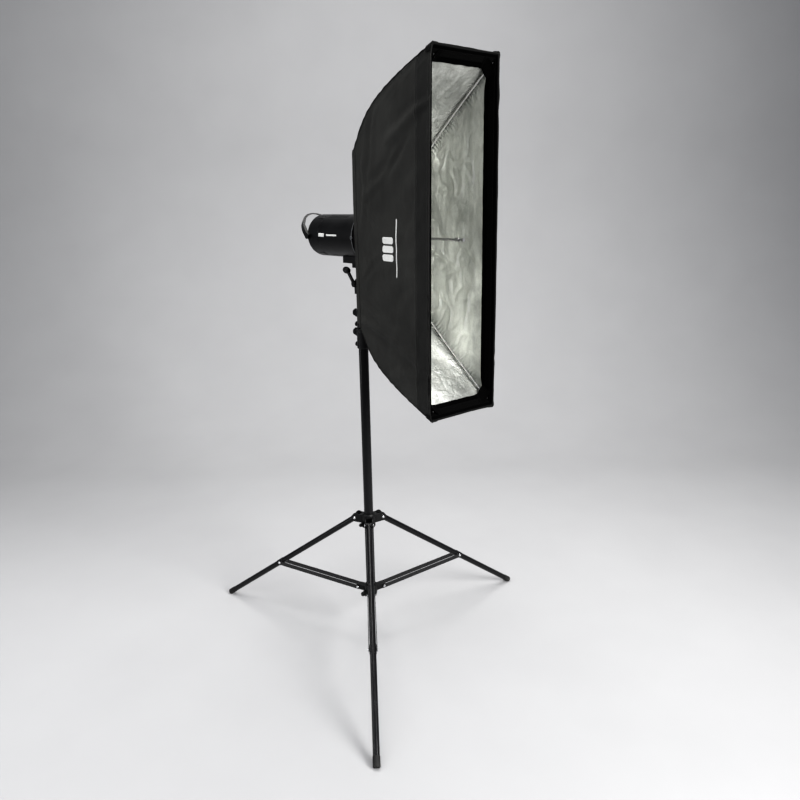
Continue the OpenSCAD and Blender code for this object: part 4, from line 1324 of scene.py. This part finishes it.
def bezel_screws():
    circle_radius = 0.0575
    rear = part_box("rear_bezel")[1][1]
    profile = [(0.0030, -0.001), (0.0030, 0.0012), (0.0024, 0.0022), (0.0010, 0.0026)]
    for k in range(4):
        a = math.radians(45 + 90 * k)
        c, s = math.cos(a), math.sin(a)
        centre = (AXIS_X + circle_radius * c, rear - 0.0042, LIGHT_Z + circle_radius * s)
        build("bezel_screw_%d" % k, turned(centre, (c * 0.75, 0.8, s * 0.75), profile, 20),
              "steel", body="head")


def dial_dots():
    """Raised dots round the dial."""
    circle_radius = 0.0155
    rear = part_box("control_panel")[1][1]
    parts = []
    for k in range(11):
        a = math.radians(-150 + 30 * k)
        centre = (AXIS_X + circle_radius * math.sin(a), rear,
                  LIGHT_Z - 0.006 + circle_radius * math.cos(a))
        parts.append(turned(centre, (0, 1, 0), [(0.0007, 0), (0.0007, 0.0003), (0.0004, 0.0005)],
                            10))
    build("dial_dots", join(parts), "print", body="head")


def strobe_marks():
    """Two pale bars on the strobe's left side."""
    radius = (shell_high[0] - shell_low[0]) / 2 + 0.00025
    rows, columns = 19, 7
    # name, start and end in y from the column's axis, lower and upper angle in degrees
    for name, y0, y1, low, high in (("strobe_mark_a", 0.098, 0.128, -1.5, 8.0),
                                    ("strobe_mark_b", 0.032, 0.086, 1.0, 5.5)):
        verts, uvs = [], []
        for i in range(rows):
            y = AXIS_Y + y0 + (y1 - y0) * i / (rows - 1)
            for j in range(columns):
                a = math.radians(180 - (low + (high - low) * j / (columns - 1)))
                verts.append(Vector((AXIS_X + radius * math.cos(a), y,
                                     LIGHT_Z + radius * math.sin(a))))
                uvs.append((y, a * radius))
        build(name, (verts, grid_faces(rows, columns)), "print", body="head",
              uvs=uvs, thickness=0.0003, offset=0.0)


finish_hard_parts()
column_plug()
bezel_screws()
dial_dots()
strobe_marks()

# ------------------------------------------------------------------ stage, light, camera
scene = bpy.context.scene

CAMERA_PLACE = Vector((AXIS_X - 1.29730, AXIS_Y - 1.75630, 1.43975))
YAW, PITCH, ROLL = math.radians(-39.35525), math.radians(15.38917), math.radians(-1.03172)
FORWARD = Vector((-math.sin(YAW) * math.cos(PITCH), math.cos(YAW) * math.cos(PITCH),
                  -math.sin(PITCH)))


def studio_paper():
    m = Material("studio_paper")
    clouds = m.noise(scale=3.0, detail=3, rough=0.5)
    m.surface(color=m.mix(clouds, (0.325, 0.325, 0.33), (0.35, 0.35, 0.355)), rough=0.75,
              spec=0.15)
    m.bump(m.noise(scale=400, detail=2), depth=0.0002, strength=0.2)
    return m.data


def backdrop():
    """A sweep of paper: floor, curve, wall, square to the camera."""
    ahead = Vector((FORWARD.x, FORWARD.y, 0)).normalized()
    across = Vector((ahead.y, -ahead.x, 0))
    floor_end, bend_radius, half_width_, wall_top = 1.6, 1.9, 9.0, 7.0
    profile = [(-6.0, 0.0), (floor_end, 0.0)]  # (distance ahead, height)
    for k in range(1, 25):
        a = math.radians(90 * k / 24)
        profile.append((floor_end + bend_radius * math.sin(a), bend_radius * (1 - math.cos(a))))
    profile.append((floor_end + bend_radius, wall_top))
    verts = [Vector((AXIS_X, AXIS_Y, z - 0.0002)) + ahead * distance + across * w
             for distance, z in profile for w in (-half_width_, half_width_)]
    faces = [(2 * i, 2 * i + 1, 2 * i + 3, 2 * i + 2) for i in range(len(profile) - 1)]
    data = bpy.data.meshes.new("backdrop")
    data.from_pydata([tuple(v) for v in verts], [], faces)
    data.materials.append(studio_paper())
    data.shade_smooth()
    obj = bpy.data.objects.new("backdrop", data)
    scene.collection.objects.link(obj)


def sky():
    world = bpy.data.worlds.new("studio")
    scene.world = world
    world.use_nodes = True
    background = world.node_tree.nodes["Background"]
    background.inputs["Color"].default_value = (0.90, 0.93, 1.0, 1)
    background.inputs["Strength"].default_value = 0.26


def area(name, place, target, size, power, color, spread=180):
    """An area light. place and target are measured from the column's foot."""
    data = bpy.data.lights.new(name, "AREA")
    data.shape = "RECTANGLE"
    data.size, data.size_y = size
    data.energy = power
    data.spread = math.radians(spread)
    data.color = color
    obj = bpy.data.objects.new(name, data)
    foot = np.array((AXIS_X, AXIS_Y, 0.0))
    obj.location = foot + place
    aim = Vector(foot + target) - Vector(foot + place)
    obj.rotation_euler = aim.to_track_quat("-Z", "Y").to_euler()
    scene.collection.objects.link(obj)


def lights():
    area("overhead", place=(0.2, 0.1, 4.3), target=(0.2, 0, 0.0), size=(3.2, 3.2), power=178,
         color=(1, 0.99, 0.975))
    area("front_soft", place=(0.45, -3.3, 2.2), target=(0, 0, 1.32), size=(1.4, 1.8), power=98,
         color=(1, 0.995, 0.98), spread=120)
    area("side_soft", place=(-2.7, -0.3, 1.9), target=(0, 0, 1.45), size=(1.2, 1.6), power=22,
         color=(0.97, 0.98, 1.0))
    area("rim_left", place=(-2.0, 1.1, 1.3), target=(0, 0, 0.9), size=(0.22, 2.2), power=9,
         color=(1, 1, 1))


def camera():
    level_right = Vector((math.cos(YAW), math.sin(YAW), 0))
    level_up = level_right.cross(FORWARD)
    right = level_right * math.cos(ROLL) + level_up * math.sin(ROLL)
    up = -level_right * math.sin(ROLL) + level_up * math.cos(ROLL)
    data = bpy.data.cameras.new("cam")
    data.sensor_width = 36
    data.lens = 32.05755
    data.clip_start = 0.05
    obj = bpy.data.objects.new("cam", data)
    columns = (right, up, -FORWARD, CAMERA_PLACE)
    obj.matrix_world = Matrix([[column[i] for column in columns] for i in range(3)]
                              + [[0, 0, 0, 1]])
    scene.collection.objects.link(obj)
    scene.camera = obj


backdrop()
sky()
lights()
camera()
scene.view_settings.view_transform = "Standard"
scene.view_settings.look = "High Contrast"
